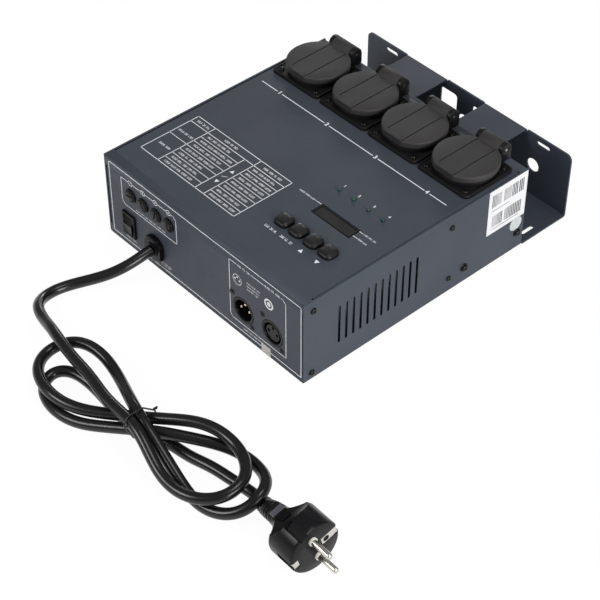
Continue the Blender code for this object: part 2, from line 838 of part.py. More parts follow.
def socket_core():
    """The round body under the flange and the collar on it."""
    joint = SEAT + SOCKET_FLANGE_THICK / 2
    profile = [
        (0, COLLAR_TOP),
        (COLLAR - 0.0008, COLLAR_TOP),
        (COLLAR, COLLAR_TOP - 0.0008),
        (COLLAR, joint),
        (SOCKET_BODY, joint),
        (SOCKET_BODY, -SOCKET_BODY_DEPTH),
        (0, -SOCKET_BODY_DEPTH),
    ]
    return turned("socket_core", profile, 24)


def socket_well():
    """What is taken out of a socket: the round well and the contact holes."""
    bm = bmesh.new()
    floor = COLLAR_TOP - WELL_DEPTH
    rod(bm, WELL, (0, 0, floor), (0, 0, COLLAR_TOP + SHEET), sides=24)
    well = as_mesh("socket_well", bm)
    bm = bmesh.new()
    for side in (-1, 1):
        x = side * CONTACT_SPACING / 2
        rod(bm, CONTACT_HOLE, (x, 0, floor - CONTACT_DEPTH), (x, 0, floor + SHEET), sides=10)
    holes = as_mesh("contact_holes", bm)
    return well, holes


def socket_guides():
    """The two ribs that guide a plug, at the ends of the contacts' line."""
    bm = bmesh.new()
    floor = COLLAR_TOP - WELL_DEPTH
    for side in (-1, 1):
        x = sorted((side * (WELL - GUIDE_REACH), side * (WELL + GUIDE_REACH / 2)))
        low = (x[0], -GUIDE_WIDTH / 2, floor - SHEET / 2)
        high = (x[1], GUIDE_WIDTH / 2, COLLAR_TOP - GUIDE_TOP)
        block(bm, low, high)
    return as_mesh("socket_guides", bm)


def pin_bore():
    """Bore for a hinge pin, through the ears and the hood."""
    bm = bmesh.new()
    reach = EAR_HALF + SHEET
    place = (HINGE_BACK, HINGE_HEIGHT)
    rod(bm, PIN + SEAT, (-reach, *place), (reach, *place), sides=10)
    return as_mesh("pin_bore", bm)


def socket_housing_mesh():
    """Flange, body, collar, ears and the well in one moulding, about the socket's axis."""
    body = link("socket_housing", socket_flange(), black_plastic())
    boolean(body, tool("socket_tongue", socket_tongue()), "UNION")
    boolean(body, tool("socket_core", socket_core()), "UNION")
    for side in (-1, 1):
        boolean(body, tool(f"hinge_ear_{side}", hinge_ear(side)), "UNION")
    well, holes = socket_well()
    boolean(body, tool("socket_well", well))
    boolean(body, tool("socket_guides", socket_guides()), "UNION")
    boolean(body, tool("contact_holes", holes))
    boolean(body, tool("pin_bore", pin_bore()))
    return shade(baked(body))


def lid_disc():
    """The round cap: a roof with a wall that drops round the collar's edge."""
    bore = LID - LID_WALL
    profile = [
        (0, LID_TOP),
        (LID - LID_EDGE, LID_TOP),
        (LID - LID_EDGE / 3, LID_TOP - LID_EDGE / 3),
        (LID, LID_TOP - LID_EDGE),
        (LID, LID_BOTTOM),
        (bore, LID_BOTTOM),
        (bore, LID_TOP - LID_ROOF),
        (0, LID_TOP - LID_ROOF),
    ]
    return turned("lid_disc", profile, 32)


def lid_hood():
    """The hinge's barrel, and the shoulder that joins it to the disc."""
    bm = bmesh.new()
    head = arc((HINGE_BACK, HINGE_HEIGHT), HINGE_BARREL, -90, 90, 8)
    shoulder = HINGE_BACK - HINGE_BARREL - LID_ROOF
    top = HINGE_HEIGHT + HINGE_BARREL
    roof = LID_TOP - LID_ROOF
    outline = [*head, (HINGE_BACK - HINGE_BARREL / 2, top - 0.0004), (shoulder, LID_TOP - 0.0004)]
    outline += [(shoulder, roof), (HINGE_BACK - HINGE_BARREL, roof - 0.001)]
    outline += [(HINGE_BACK - HINGE_BARREL * 0.7, HINGE_HEIGHT - HINGE_BARREL * 0.7)]
    prism(bm, [(-HOOD_HALF, y, z) for y, z in outline], (2 * HOOD_HALF, 0, 0))
    return as_mesh("lid_hood", bm)


def lid_cuts():
    """The straight front edge, room for the ears, the grooves and the hood's cavity."""
    bm = bmesh.new()
    over = LID + SHEET
    deep = LID_BOTTOM - SHEET
    high = LID_TOP + SHEET
    block(bm, (-over, -over, deep), (over, -LID_CHORD, high))
    for side in (-1, 1):
        x = sorted((side * HOOD_HALF, side * (EAR_HALF + SEAT)))
        front = HINGE_BACK - HINGE_BARREL - SEAT
        block(bm, (x[0], front, deep), (x[1], over, high))
    ends = as_mesh("lid_trim", bm)
    bm = bmesh.new()
    for side in (-1, 1):
        x = side * GROOVE_X
        low = (x - GROOVE_WIDTH / 2, -over, LID_TOP - GROOVE_DEPTH)
        block(bm, low, (x + GROOVE_WIDTH / 2, HINGE_BACK - HINGE_BARREL - LID_ROOF, high))
    grooves = as_mesh("lid_grooves", bm)
    bm = bmesh.new()
    reach = HOOD_HALF - CHEEK
    cavity = arc((HINGE_BACK, HINGE_HEIGHT), HINGE_CAVITY, 0, 180, 8)
    foot = HINGE_HEIGHT - HINGE_BARREL - SHEET
    cavity += [(HINGE_BACK - HINGE_CAVITY, foot), (HINGE_BACK + HINGE_CAVITY, foot)]
    prism(bm, [(-reach, y, z) for y, z in cavity], (2 * reach, 0, 0))
    hollow = as_mesh("hood_cavity", bm)
    return ends, grooves, hollow


def socket_lid_mesh():
    """A lid with its hood, moved so that the hinge's axis is at its origin."""
    lid = link("socket_lid", lid_disc(), black_plastic())
    ends, grooves, hollow = lid_cuts()
    boolean(lid, tool("lid_trim", ends))
    boolean(lid, tool("lid_hood", lid_hood()), "UNION")
    boolean(lid, tool("lid_grooves", grooves))
    boolean(lid, tool("hood_cavity", hollow))
    boolean(lid, bpy.data.objects["pin_bore"])
    mesh = shade(baked(lid))
    mesh.transform(Matrix.Translation((0, -HINGE_BACK, -HINGE_HEIGHT)))
    return mesh


def hinge_pin_mesh():
    bm = bmesh.new()
    reach = EAR_HALF - SEAT
    rod(bm, PIN, (-reach, 0, 0), (reach, 0, 0), sides=10)
    return shade(as_mesh("hinge_pin", bm))


def tube(name, points, radius, resolution, radii=None):
    """A round wire along points, made a mesh with welded caps."""
    curve = bpy.data.curves.new(name, "CURVE")
    curve.dimensions = "3D"
    curve.bevel_depth = radius
    curve.bevel_resolution = resolution
    curve.use_fill_caps = True
    spline = curve.splines.new("POLY")
    spline.points.add(len(points) - 1)
    for i, point in enumerate(points):
        spline.points[i].co = (*point, 1.0)
        spline.points[i].radius = radii[i] if radii else 1.0
    obj = bpy.data.objects.new(name, curve)
    bpy.data.collections[TOOLS].objects.link(obj)
    mesh = baked(obj)
    bm = bmesh.new()
    bm.from_mesh(mesh)
    bmesh.ops.remove_doubles(bm, verts=bm.verts, dist=0.000005)
    bmesh.ops.recalc_face_normals(bm, faces=bm.faces)
    bm.to_mesh(mesh)
    bm.free()
    return mesh


def lid_spring_mesh():
    """A small torsion spring round the pin, inside the hood."""
    coil = PIN + RUN + SPRING_WIRE
    pitch = 2 * SPRING_WIRE + RUN
    count = SPRING_TURNS * SPRING_POINTS
    points = []
    for i in range(count + 1):
        turn = 2 * math.pi * i / SPRING_POINTS
        along = (i / SPRING_POINTS - SPRING_TURNS / 2) * pitch
        points.append((along, coil * math.cos(turn), coil * math.sin(turn)))
    leg = HINGE_CAVITY - coil - SPRING_WIRE - RUN
    points.insert(0, (points[0][0], coil, -leg))
    points.append((points[-1][0], coil, leg))
    return shade(tube("lid_spring", points, SPRING_WIRE, 1))


def earth_clip_mesh():
    """A strip across the well's floor with its ends standing up."""
    bm = bmesh.new()
    low = COLLAR_TOP - WELL_DEPTH + SEAT
    top = low + CLIP_RISE
    outer = [(CLIP_HALF, low), (CLIP_HALF, top - CLIP_LEAN), (CLIP_HALF - CLIP_LEAN, top)]
    inner = [
        (CLIP_HALF - CLIP_LEAN - CLIP_THICK, top - CLIP_THICK / 2),
        (CLIP_HALF - CLIP_THICK, top - CLIP_LEAN - CLIP_THICK / 2),
        (CLIP_HALF - CLIP_THICK, low + CLIP_THICK),
    ]
    right = outer + inner
    outline = right + [(-y, z) for y, z in reversed(right)]
    prism(bm, [(-CLIP_WIDTH / 2, y, z) for y, z in outline], (CLIP_WIDTH, 0, 0))
    return as_mesh("earth_clip", bm)


def make_sockets():
    """Four sockets, each with its lid, hinge pin, spring and earth clip."""
    housing = socket_housing_mesh()
    lid = socket_lid_mesh()
    pin = hinge_pin_mesh()
    spring = lid_spring_mesh()
    clip = earth_clip_mesh()
    for number, x in enumerate(row(0, SOCKET_PITCH), 1):
        place = Vector((x, SOCKET_Y, CASE_HEIGHT))
        hinge = place + Vector((0, HINGE_BACK, HINGE_HEIGHT))
        link(f"socket_{number}_housing", housing, black_plastic(), place)
        link(f"socket_{number}_earth_clip", clip, nickel(), place)
        link(f"socket_{number}_lid", lid, black_plastic(), hinge)
        link(f"socket_{number}_hinge_pin", pin, spring_steel(), hinge)
        link(f"socket_{number}_lid_spring", spring, spring_steel(), hinge)


def square_ring(half, corner, height):
    """Outline of a button at one height."""
    outline = rounded_rectangle((-half, -half), (half, half), min(corner, half))
    return [(x, y, height) for x, y in outline]


def button_mesh():
    """A pillow-shaped cap with a flange under the panel and a stem below it."""
    bm = bmesh.new()
    half = BUTTON_SIDE / 2
    under = -SHEET - SEAT
    low = under - BUTTON_FLANGE_THICK
    rings = (
        (half + BUTTON_FLANGE, BUTTON_CORNER, low),
        (half + BUTTON_FLANGE, BUTTON_CORNER, under),
        (half, BUTTON_CORNER, under),
        (half, BUTTON_CORNER, BUTTON_RISE * 0.42),
        (half * 0.93, BUTTON_CORNER, BUTTON_RISE * 0.72),
        (half * 0.72, BUTTON_CORNER * 0.9, BUTTON_RISE * 0.93),
        (half * 0.38, BUTTON_CORNER * 0.55, BUTTON_RISE),
    )
    rows = [[bm.verts.new(point) for point in square_ring(*ring)] for ring in rings]
    count = len(rows[0])
    for lower, upper in zip(rows, rows[1:]):
        for i in range(count):
            j = (i + 1) % count
            bm.faces.new((lower[i], lower[j], upper[j], upper[i]))
    bm.faces.new(list(reversed(rows[0])))
    bm.faces.new(rows[-1])
    cap = link("button_cap", as_mesh("button_cap", bm), black_plastic())
    bm = bmesh.new()
    foot = BOARD_TOP + SWITCH_BOX_RISE - CASE_HEIGHT - SEAT - BUTTON_TRAVEL / 4
    rod(bm, BUTTON_STEM, (0, 0, foot), (0, 0, low + BUTTON_FLANGE_THICK / 2), sides=10)
    boolean(cap, tool("button_stem", as_mesh("button_stem", bm)), "UNION")
    return shade(baked(cap))


def led_mesh():
    """A round lamp with a domed end, standing on its board."""
    foot = BOARD_TOP + SEAT - CASE_HEIGHT
    crown = LED_RISE + LED
    dome = [(r, crown - LED + h) for r, h in arc((0, 0), LED, 90, 0, 4)]
    dome[0] = (0, crown)
    profile = dome + [(LED, foot), (0, foot)]
    return shade(turned("led", profile, 10))


def make_controls():
    """Buttons, lamps and the display."""
    cap = button_mesh()
    for number, x in enumerate(row(BUTTON_X, BUTTON_PITCH), 1):
        link(f"button_{number}", cap, black_plastic(), (x, BUTTON_Y, CASE_HEIGHT))
    lamp = led_mesh()
    for number, x in enumerate(row(LED_X, LED_PITCH), 1):
        link(f"led_{number}", lamp, green_lens(), (x, LED_Y, CASE_HEIGHT))
    bm = bmesh.new()
    half = Vector((DISPLAY_WIDTH / 2, DISPLAY_DEPTH / 2, 0))
    block(
        bm,
        Vector((0, 0, BOARD_TOP + SEAT - CASE_HEIGHT)) - half,
        Vector((0, 0, -DISPLAY_SUNK)) + half,
    )
    mesh = as_mesh("display_window", bm)
    link("display_window", mesh, dark_acrylic(), (DISPLAY_X, DISPLAY_Y, CASE_HEIGHT))


def make_control_board():
    """The board under the control panel, on posts from the cover, with its switches."""
    reach_x = BUTTON_PITCH * (CHANNELS - 1) / 2 + BOARD_MARGIN
    low = Vector((BUTTON_X - reach_x, BUTTON_Y - BOARD_MARGIN, BOARD_TOP - BOARD))
    high = Vector((BUTTON_X + reach_x, LED_Y + BOARD_MARGIN, BOARD_TOP))
    bm = bmesh.new()
    block(bm, low, high)
    board = link("control_board", as_mesh("control_board", bm), circuit_board())
    bm = bmesh.new()
    under = CASE_HEIGHT - SHEET - SEAT
    inset = POST + 0.0005
    for x in (low.x + inset, high.x - inset):
        for y in (low.y + inset - 0.0003, high.y - inset):
            rod(bm, POST, (x, y, BOARD_TOP - BOARD / 2), (x, y, under), sides=8)
    boolean(board, tool("board_posts", as_mesh("board_posts", bm)), "UNION")
    bm = bmesh.new()
    half = SWITCH_BOX / 2
    box_y = BUTTON_Y + 0.0010
    for x in row(BUTTON_X, BUTTON_PITCH):
        low_corner = (x - half, box_y - half, BOARD_TOP - BOARD / 2)
        block(bm, low_corner, (x + half, box_y + half, BOARD_TOP + SWITCH_BOX_RISE))
    boolean(board, tool("switch_boxes", as_mesh("switch_boxes", bm)), "UNION")
    bm = bmesh.new()
    top = BOARD_TOP + SWITCH_BOX_RISE
    floor = top - 2 * BUTTON_TRAVEL - SHEET
    for x in row(BUTTON_X, BUTTON_PITCH):
        place = (x, BUTTON_Y)
        rod(bm, BUTTON_STEM + SEAT, (*place, floor), (*place, top + SHEET), sides=10)
    boolean(board, tool("stem_bores", as_mesh("stem_bores", bm)))


def facing_front():
    """Turns a shape made along Z so that its +Z points to the front."""
    return (math.pi / 2, 0, 0)


def fuse_holder_mesh():
    """A turned holder: ring outside the panel, barrel through it. Heights from the panel."""
    ring = SEAT + FUSE_RING_THICK
    seat = ring - FUSE_HEAD_THICK - 2 * SEAT
    profile = [
        (FUSE_HEAD + SEAT, ring),
        (FUSE_RING - 0.0005, ring),
        (FUSE_RING, ring - 0.0005),
        (FUSE_RING, SEAT),
        (FUSE_BARREL, SEAT),
        (FUSE_BARREL, -FUSE_BARREL_DEPTH),
        (0, -FUSE_BARREL_DEPTH),
        (0, SHEET - FUSE_BARREL_DEPTH),
        (FUSE_BORE, SHEET - FUSE_BARREL_DEPTH),
        (FUSE_BORE, seat),
        (FUSE_HEAD + SEAT, seat),
    ]
    return shade(turned("fuse_holder", profile, 16, closed=True))


def fuse_cap_mesh(turn):
    """A slotted head with a neck that grips the fuse's end."""
    head = FUSE_RING_THICK + SEAT + SEAT
    back = head - FUSE_HEAD_THICK
    neck = back - FUSE_NECK_LENGTH
    bore = FUSE + SEAT
    profile = [
        (0, head),
        (FUSE_HEAD - 0.0004, head),
        (FUSE_HEAD, head - 0.0004),
        (FUSE_HEAD, back),
        (FUSE_NECK, back),
        (FUSE_NECK, neck),
        (bore, neck),
        (bore, back - 0.0008),
        (0, back - 0.0008),
    ]
    cap = link("fuse_cap", turned("fuse_cap", profile, 14), black_plastic())
    bm = bmesh.new()
    half = Vector((FUSE_HEAD * 0.82, DRIVER_SLOT / 2, DRIVER_SLOT_DEPTH))
    block(bm, Vector((0, 0, head)) - half, Vector((0, 0, head)) + half)
    cutter = tool("driver_slot", as_mesh("driver_slot", bm))
    cutter.rotation_euler = (0, 0, math.radians(turn))
    boolean(cap, cutter)
    mesh = shade(baked(cap))
    bpy.data.objects.remove(cutter, do_unlink=True)
    return mesh


def fuse_mesh():
    """A glass cartridge with metal ends."""
    near = FUSE_RING_THICK + 2 * SEAT - FUSE_HEAD_THICK - 0.0008 - SEAT
    bm = bmesh.new()
    rod(bm, FUSE, (0, 0, near - FUSE_LENGTH), (0, 0, near), sides=12)
    return shade(as_mesh("fuse", bm))


def make_fuses():
    """Four holders with their fuses and slotted caps."""
    holder = fuse_holder_mesh()
    fuse = fuse_mesh()
    for number, (x, turn) in enumerate(zip(row(FUSE_X, FUSE_PITCH), SLOT_TURNS), 1):
        place = (x, FRONT, FUSE_Z)
        link(f"fuse_holder_{number}", holder, black_plastic(), place, facing_front())
        link(f"fuse_{number}", fuse, glass_tube(), place, facing_front())
        cap = fuse_cap_mesh(turn)
        link(f"fuse_cap_{number}", cap, black_plastic(), place, facing_front())


def make_mains_switch():
    """A rocker in a snap-in body, drawn with its upper half pressed."""
    bm = bmesh.new()
    half_x, half_z = SWITCH_BODY_WIDTH / 2, SWITCH_BODY_HEIGHT / 2
    bezel_x, bezel_z = SWITCH_BEZEL_WIDTH / 2, SWITCH_BEZEL_HEIGHT / 2
    face = -SEAT - SWITCH_BEZEL_THICK
    outline = rounded_rectangle((-bezel_x, -bezel_z), (bezel_x, bezel_z), 0.0012, 2)
    prism(bm, [(x, -SEAT, z) for x, z in outline], (0, -SWITCH_BEZEL_THICK, 0))
    rims = [e for e in bm.edges if all(v.co.y < face + 0.00001 for v in e.verts)]
    bmesh.ops.bevel(bm, geom=rims, offset=0.0006, segments=1, affect="EDGES")
    place = (SWITCH_X, FRONT, SWITCH_Z)
    body = link("switch_body", as_mesh("switch_body", bm), black_plastic(), place)
    bm = bmesh.new()
    block(bm, (-half_x, -2 * SEAT, -half_z), (half_x, SWITCH_BODY_DEPTH, half_z))
    boolean(body, tool("switch_block", as_mesh("switch_block", bm), place), "UNION")
    bm = bmesh.new()
    room_x, room_z = half_x - SWITCH_WALL, half_z - SWITCH_WALL
    deep = SWITCH_BODY_DEPTH * 0.45
    block(bm, (-room_x, 2 * face, -room_z), (room_x, deep, room_z))
    boolean(body, tool("switch_room", as_mesh("switch_room", bm), place))
    bm = bmesh.new()
    reach = half_x + SHEET
    axle_y = ROCKER_AXLE_DEPTH
    rod(bm, ROCKER_AXLE + SEAT, (-reach, axle_y, 0), (reach, axle_y, 0), sides=12)
    boolean(body, tool("axle_bore", as_mesh("axle_bore", bm), place))

    # The rocker's section about its axle: two flat halves that meet in a ridge
    wide = room_x - RUN
    tall = room_z - RUN - 0.0006
    ridge = -ROCKER_RIDGE - axle_y
    edge = ridge + ROCKER_DROP
    back = ROCKER_AXLE + 0.0008
    outline = [(ridge, 0), (edge, tall), (edge + 0.0030, tall), (back, ROCKER_AXLE + 0.001)]
    outline += [(y, -z) for y, z in reversed(outline[1:])]
    bm = bmesh.new()
    prism(bm, [(-wide, y, z) for y, z in outline], (2 * wide, 0, 0))
    pivot = (SWITCH_X, FRONT + axle_y, SWITCH_Z)
    tilt = (-math.radians(ROCKER_TILT), 0, 0)
    mesh = as_mesh("switch_rocker", bm)
    rocker = link("switch_rocker", mesh, black_plastic(), pivot, tilt)
    bm = bmesh.new()
    reach = half_x - 2 * SEAT
    rod(bm, ROCKER_AXLE, (-reach, 0, 0), (reach, 0, 0), sides=12)
    axle = tool("rocker_axle", as_mesh("rocker_axle", bm), pivot, tilt)
    boolean(rocker, axle, "UNION")


def signal_shell(name, x):
    """The round shell of a connector, its flange behind the panel."""
    behind = -SHEET - SEAT
    profile = [
        (SIGNAL_BORE, 0.0),
        (SIGNAL_NOSE - 0.0004, 0.0),
        (SIGNAL_NOSE, -0.0004),
        (SIGNAL_NOSE, -SIGNAL_DEPTH - SIGNAL_FLOOR),
        (0, -SIGNAL_DEPTH - SIGNAL_FLOOR),
        (0, -SIGNAL_DEPTH),
        (SIGNAL_BORE, -SIGNAL_DEPTH),
    ]
    place = (x, FRONT, SIGNAL_Z)
    mesh = shade(turned(name, profile, 24, closed=True))
    shell = link(name, mesh, black_plastic(), place, facing_front())
    bm = bmesh.new()
    half_x, half_y = SIGNAL_FLANGE_WIDTH / 2, SIGNAL_FLANGE_HEIGHT / 2
    outline = rounded_rectangle((-half_x, -half_y), (half_x, half_y), 0.0020, 2)
    ring = SIGNAL_NOSE - 0.0004
    prism(bm, [(px, py, behind) for px, py in outline], (0, 0, -SIGNAL_FLANGE_THICK))
    flange = tool(f"{name}_flange", as_mesh("flange", bm), place, facing_front())
    bm = bmesh.new()
    rod(bm, ring, (0, 0, behind + SHEET), (0, 0, behind - SIGNAL_FLANGE_THICK - SHEET), sides=24)
    boolean(flange, tool(f"{name}_eye", as_mesh("eye", bm), place, facing_front()))
    boolean(shell, flange, "UNION")
    return place


def contact_places():
    """The three contacts of a connector: left, top and right."""
    return [Vector((SIGNAL_CIRCLE * math.cos(a), SIGNAL_CIRCLE * math.sin(a), 0))
            for a in (math.pi, math.pi / 2, 0)]


def make_signal_connectors():
    """An input with three pins and an output with three holes."""
    place = signal_shell("signal_in_housing", SIGNAL_IN_X)
    floor = -SIGNAL_DEPTH + SEAT
    disc = 0.0025
    profile = [
        (0, floor + disc),
        (SIGNAL_BORE - SEAT, floor + disc),
        (SIGNAL_BORE - SEAT, floor),
        (0, floor),
    ]
    mesh = turned("signal_in_insert", profile, 24)
    insert = link("signal_in_insert", mesh, black_plastic(), place, facing_front())
    bm = bmesh.new()
    root = Vector((0, 0, floor + disc / 2))
    tip = Vector((0, 0, -SIGNAL_PIN_SUNK))
    for spot in contact_places():
        rod(bm, SIGNAL_PIN, spot + root, spot + tip, sides=8)
    pins = tool("signal_pins", as_mesh("signal_pins", bm), place, facing_front())
    boolean(insert, pins, "UNION")

    place = signal_shell("signal_out_housing", SIGNAL_OUT_X)
    face = -0.0006
    profile = [
        (0, face),
        (SIGNAL_NECK - 0.0004, face),
        (SIGNAL_NECK, face - 0.0004),
        (SIGNAL_NECK, floor + disc),
        (SIGNAL_BORE - SEAT, floor + disc),
        (SIGNAL_BORE - SEAT, floor),
        (0, floor),
    ]
    mesh = turned("signal_out_insert", profile, 24)
    insert = link("signal_out_insert", mesh, black_plastic(), place, facing_front())
    bm = bmesh.new()
    for spot in contact_places():
        deep = spot + Vector((0, 0, -0.012))
        rod(bm, SIGNAL_PIN + SEAT, deep, spot + Vector((0, 0, SHEET)), sides=8)
    holes = tool("contact_bores", as_mesh("contact_bores", bm), place, facing_front())
    boolean(insert, holes)


def make_cord_gland():
    """A gland: a round flange with two flats, and an eight-sided collar round the cord."""
    nut = -SHEET - GLAND_NUT_GAP
    profile = [
        (0, SEAT + GLAND_FLANGE_THICK),
        (GLAND_FLANGE - 0.0012, SEAT + GLAND_FLANGE_THICK),
        (GLAND_FLANGE, SEAT + GLAND_FLANGE_THICK - 0.0012),
        (GLAND_FLANGE, SEAT),
        (GLAND_BODY, SEAT),
        (GLAND_BODY, nut),
        (GLAND_NUT, nut),
        (GLAND_NUT, nut - GLAND_NUT_THICK),
        (GLAND_BODY, nut - GLAND_NUT_THICK),
        (GLAND_BODY, nut - GLAND_NUT_THICK - 0.004),
        (0, nut - GLAND_NUT_THICK - 0.004),
    ]
    place = (GLAND_X, FRONT, GLAND_Z)
    mesh = shade(turned("cord_gland", profile, 16))
    gland = link("cord_gland", mesh, black_plastic(), place, facing_front())
    bm = bmesh.new()
    foot = Vector((0, 0, GLAND_FLANGE_THICK / 2))
    face = Vector((0, 0, GLAND_REACH))
    rod(bm, GLAND_COLLAR, foot, face, sides=GLAND_SIDES, end_radius=GLAND_MOUTH)
    quarter = Matrix.Rotation(math.pi / GLAND_SIDES, 3, "Z")
    bmesh.ops.rotate(bm, verts=bm.verts, matrix=quarter)
    collar = tool("gland_collar", as_mesh("gland_collar", bm), place, facing_front())
    boolean(gland, collar, "UNION")
    bm = bmesh.new()
    for side in (-1, 1):
        x = sorted((side * GLAND_FLAT, side * 2 * GLAND_FLANGE))
        block(bm, (x[0], -GLAND_FLANGE, 0), (x[1], GLAND_FLANGE, 2 * GLAND_REACH))
    flats = tool("gland_flats", as_mesh("gland_flats", bm), place, facing_front())
    boolean(gland, flats)


def make_power_board():
    """The mains board on its pillars, with chokes, transformer, terminals and capacitors."""
    low = Vector((LEFT + POWER_BOARD_INSET[0], FRONT + POWER_BOARD_INSET[1], POWER_BOARD_Z))
    sink_side = RIGHT - SINK_INSET[0] - SINK_WIDTH
    high = Vector((sink_side - SINK_TO_BOARD, low.y + POWER_BOARD_DEPTH, POWER_BOARD_Z + BOARD))
    top = high.z
    sink = BOARD / 2
    bm = bmesh.new()
    block(bm, low, high)
    board = link("power_board", as_mesh("power_board", bm), circuit_board())
    bm = bmesh.new()
    inset = PILLAR + SHEET
    for x in (low.x + inset, high.x - inset):
        for y in (low.y + inset, high.y - inset):
            rod(bm, PILLAR, (x, y, SHEET + SEAT), (x, y, top - sink), sides=6)
    boolean(board, tool("pillars", as_mesh("pillars", bm)), "UNION")
    bm = bmesh.new()
    for x in row((low.x + high.x) / 2, 2 * CHOKE + CHOKE_SPACE):
        place = (x, high.y - CHOKE_INSET)
        rod(bm, CHOKE, (*place, top - sink), (*place, top + CHOKE_HEIGHT), sides=12)
    boolean(board, tool("chokes", as_mesh("chokes", bm)), "UNION")
    bm = bmesh.new()
    for x in row((low.x + high.x) / 2, 2 * CHOKE + CHOKE_SPACE):
        place = (x, high.y - CHOKE_INSET)
        rod(bm, CHOKE_BORE, (*place, top + SEAT), (*place, top + 2 * CHOKE_HEIGHT), sides=6)
    boolean(board, tool("choke_bores", as_mesh("choke_bores", bm)))
    bm = bmesh.new()
    corner = Vector((low.x + TRANSFORMER_PLACE[0], low.y + TRANSFORMER_PLACE[1], top - sink))
    block(bm, corner, corner + Vector(TRANSFORMER))
    corner = Vector((high.x - TERMINALS_PLACE[0], low.y + TERMINALS_PLACE[1], top - sink))
    block(bm, corner, corner + Vector(TERMINALS))
    for from_right, from_front in CAPACITOR_PLACES:
        place = (high.x - from_right, low.y + from_front)
        rod(bm, CAPACITOR, (*place, top - sink), (*place, top + CAPACITOR_HEIGHT), sides=10)
    boolean(board, tool("board_parts", as_mesh("board_parts", bm)), "UNION")


def make_heat_sink():
    """A finned extrusion beside the vents, standing on the pan."""
    high_x = RIGHT - SINK_INSET[0]
    low_x = high_x - SINK_WIDTH
    foot = SHEET + SEAT
    pitch = (high_x - low_x - SINK_FIN) / (SINK_FINS - 1)
    outline = [(low_x, foot)]
    for i in range(SINK_FINS):
        x = low_x + i * pitch
        if i:
            outline.append((x, foot + SINK_BASE))
        outline += [(x, foot + SINK_HEIGHT), (x + SINK_FIN, foot + SINK_HEIGHT)]
        if i < SINK_FINS - 1:
            outline.append((x + SINK_FIN, foot + SINK_BASE))
    outline.append((high_x, foot))
    bm = bmesh.new()
    near = FRONT + SINK_INSET[1]
    prism(bm, [(x, near, z) for x, z in outline], (0, SINK_LENGTH, 0))
    link("heat_sink", as_mesh("heat_sink", bm), aluminium())


def resampled(points, count=None, step=None):
    """Points an even step apart along a line of points."""
    points = np.asarray(points, float)
    reach = np.concatenate([[0], np.cumsum(np.linalg.norm(np.diff(points, axis=0), axis=1))])
    count = count or int(reach[-1] / step) + 1
    at = np.linspace(0, reach[-1], count)
    return np.stack([np.interp(at, reach, points[:, axis]) for axis in range(3)], 1)


def softened(points, passes):
    """A smooth curve from a line of even points, with its ends kept."""
    points = points.copy()
    for _ in range(passes):
        points[1:-1] = (points[:-2] + 2 * points[1:-1] + points[2:]) / 4
    return points


def lobe_points(before, after, lobe, side):
    """One lobe of the bundle: an oval arc from one waist point round to the next."""
    x, y, long, wide, tilt, heights = lobe
    lean = Matrix.Rotation(math.radians(tilt), 2)
    back = lean.transposed()

    def tangent(point, sign):
        flat = back @ Vector((point[0] - x, point[1] - y))
        flat = Vector((flat.x / long, flat.y / wide))
        return math.atan2(flat.y, flat.x) + sign * math.acos(1 / flat.length)

    first = tangent(before, side)
    last = tangent(after, -side)
    while (last - first) * side < 0:
        last += side * 2 * math.pi
    points = []
    for i in range(LOBE_POINTS):
        share = i / (LOBE_POINTS - 1)
        angle = first + (last - first) * share
        height = float(np.interp(share, np.linspace(0, 1, len(heights)), heights))
        spot = lean @ Vector((long * math.cos(angle), wide * math.sin(angle)))
        points.append((x + spot.x, y + spot.y, height))
    return points


def cord_route():
    """The whole cord's centre line: lead, two figure-of-eight turns, and the run to the plug."""
    points = list(LEAD_ROUTE)
    for number, lobe in enumerate(LOBES):
        side = 1 if number % 2 == 0 else -1
        points.append(WAIST[number])
        points += lobe_points(WAIST[number], WAIST[number + 1], lobe, side)
    points.append(WAIST[-1])
    points += TAIL_ROUTE
    points.append(BOOT_START)
    return softened(resampled(points, CORD_POINTS), CORD_SOFTENING) + np.array(CORD_MOVE)


def least_gap(points, apart):
    """Least distance between stretches of a tube that aren't neighbours, on dense points."""
    dense = resampled(points, step=CORD / 9)
    skip = int(apart / (CORD / 9))
    least = 1.0
    for i in range(0, len(dense) - skip):
        rest = dense[i + skip:] - dense[i]
        least = min(least, float(np.sqrt((rest ** 2).sum(axis=1)).min()))
    return least


def straight_ends(points, first, last, start_gap, end_gap):
    """The same line, its ends square to two directions and set back by short gaps."""
    points = [Vector(point) for point in points]
    first, last = Vector(first).normalized(), Vector(last).normalized()
    points.insert(1, points[0] + first * CORD / 2)
    points.insert(-1, points[-1] - last * CORD / 2)
    points[0] += first * start_gap
    points[-1] -= last * end_gap
    return points


def make_cord():
    """The lead from the gland, the tied bundle with the run to the plug, and the wire tie."""
    route = cord_route()
    split = next(i for i, point in enumerate(route) if point[1] < BUNDLE_STARTS_Y)
    lead = list(route[:split:CORD_EVERY])
    lead += [route[split]] if split % CORD_EVERY else []
    lead[-1] = route[split]
    bundle = list(route[split::CORD_EVERY])
    bundle[-1] = route[-1]
    radius = CORD / 2
    joint = route[split + 1] - route[split - 1]
    line = straight_ends(lead, (0, -1, 0), joint, SEAT, SEAT / 2)
    link("cord_lead", shade(tube("cord_lead", line, radius, 2)), black_rubber())
    line = straight_ends(bundle, joint, route[-1] - route[-2], SEAT / 2, SEAT)
    link("cord_bundle", shade(tube("cord_bundle", line, radius, 1)), black_rubber())
    gap = least_gap(bundle, 4 * CORD) - CORD
    length = float(np.linalg.norm(np.diff(route, axis=0), axis=1).sum())
    print(f"cord {length:.3f} m, least gap in the bundle {gap * 1000:.2f} mm")
    make_tie(bundle)


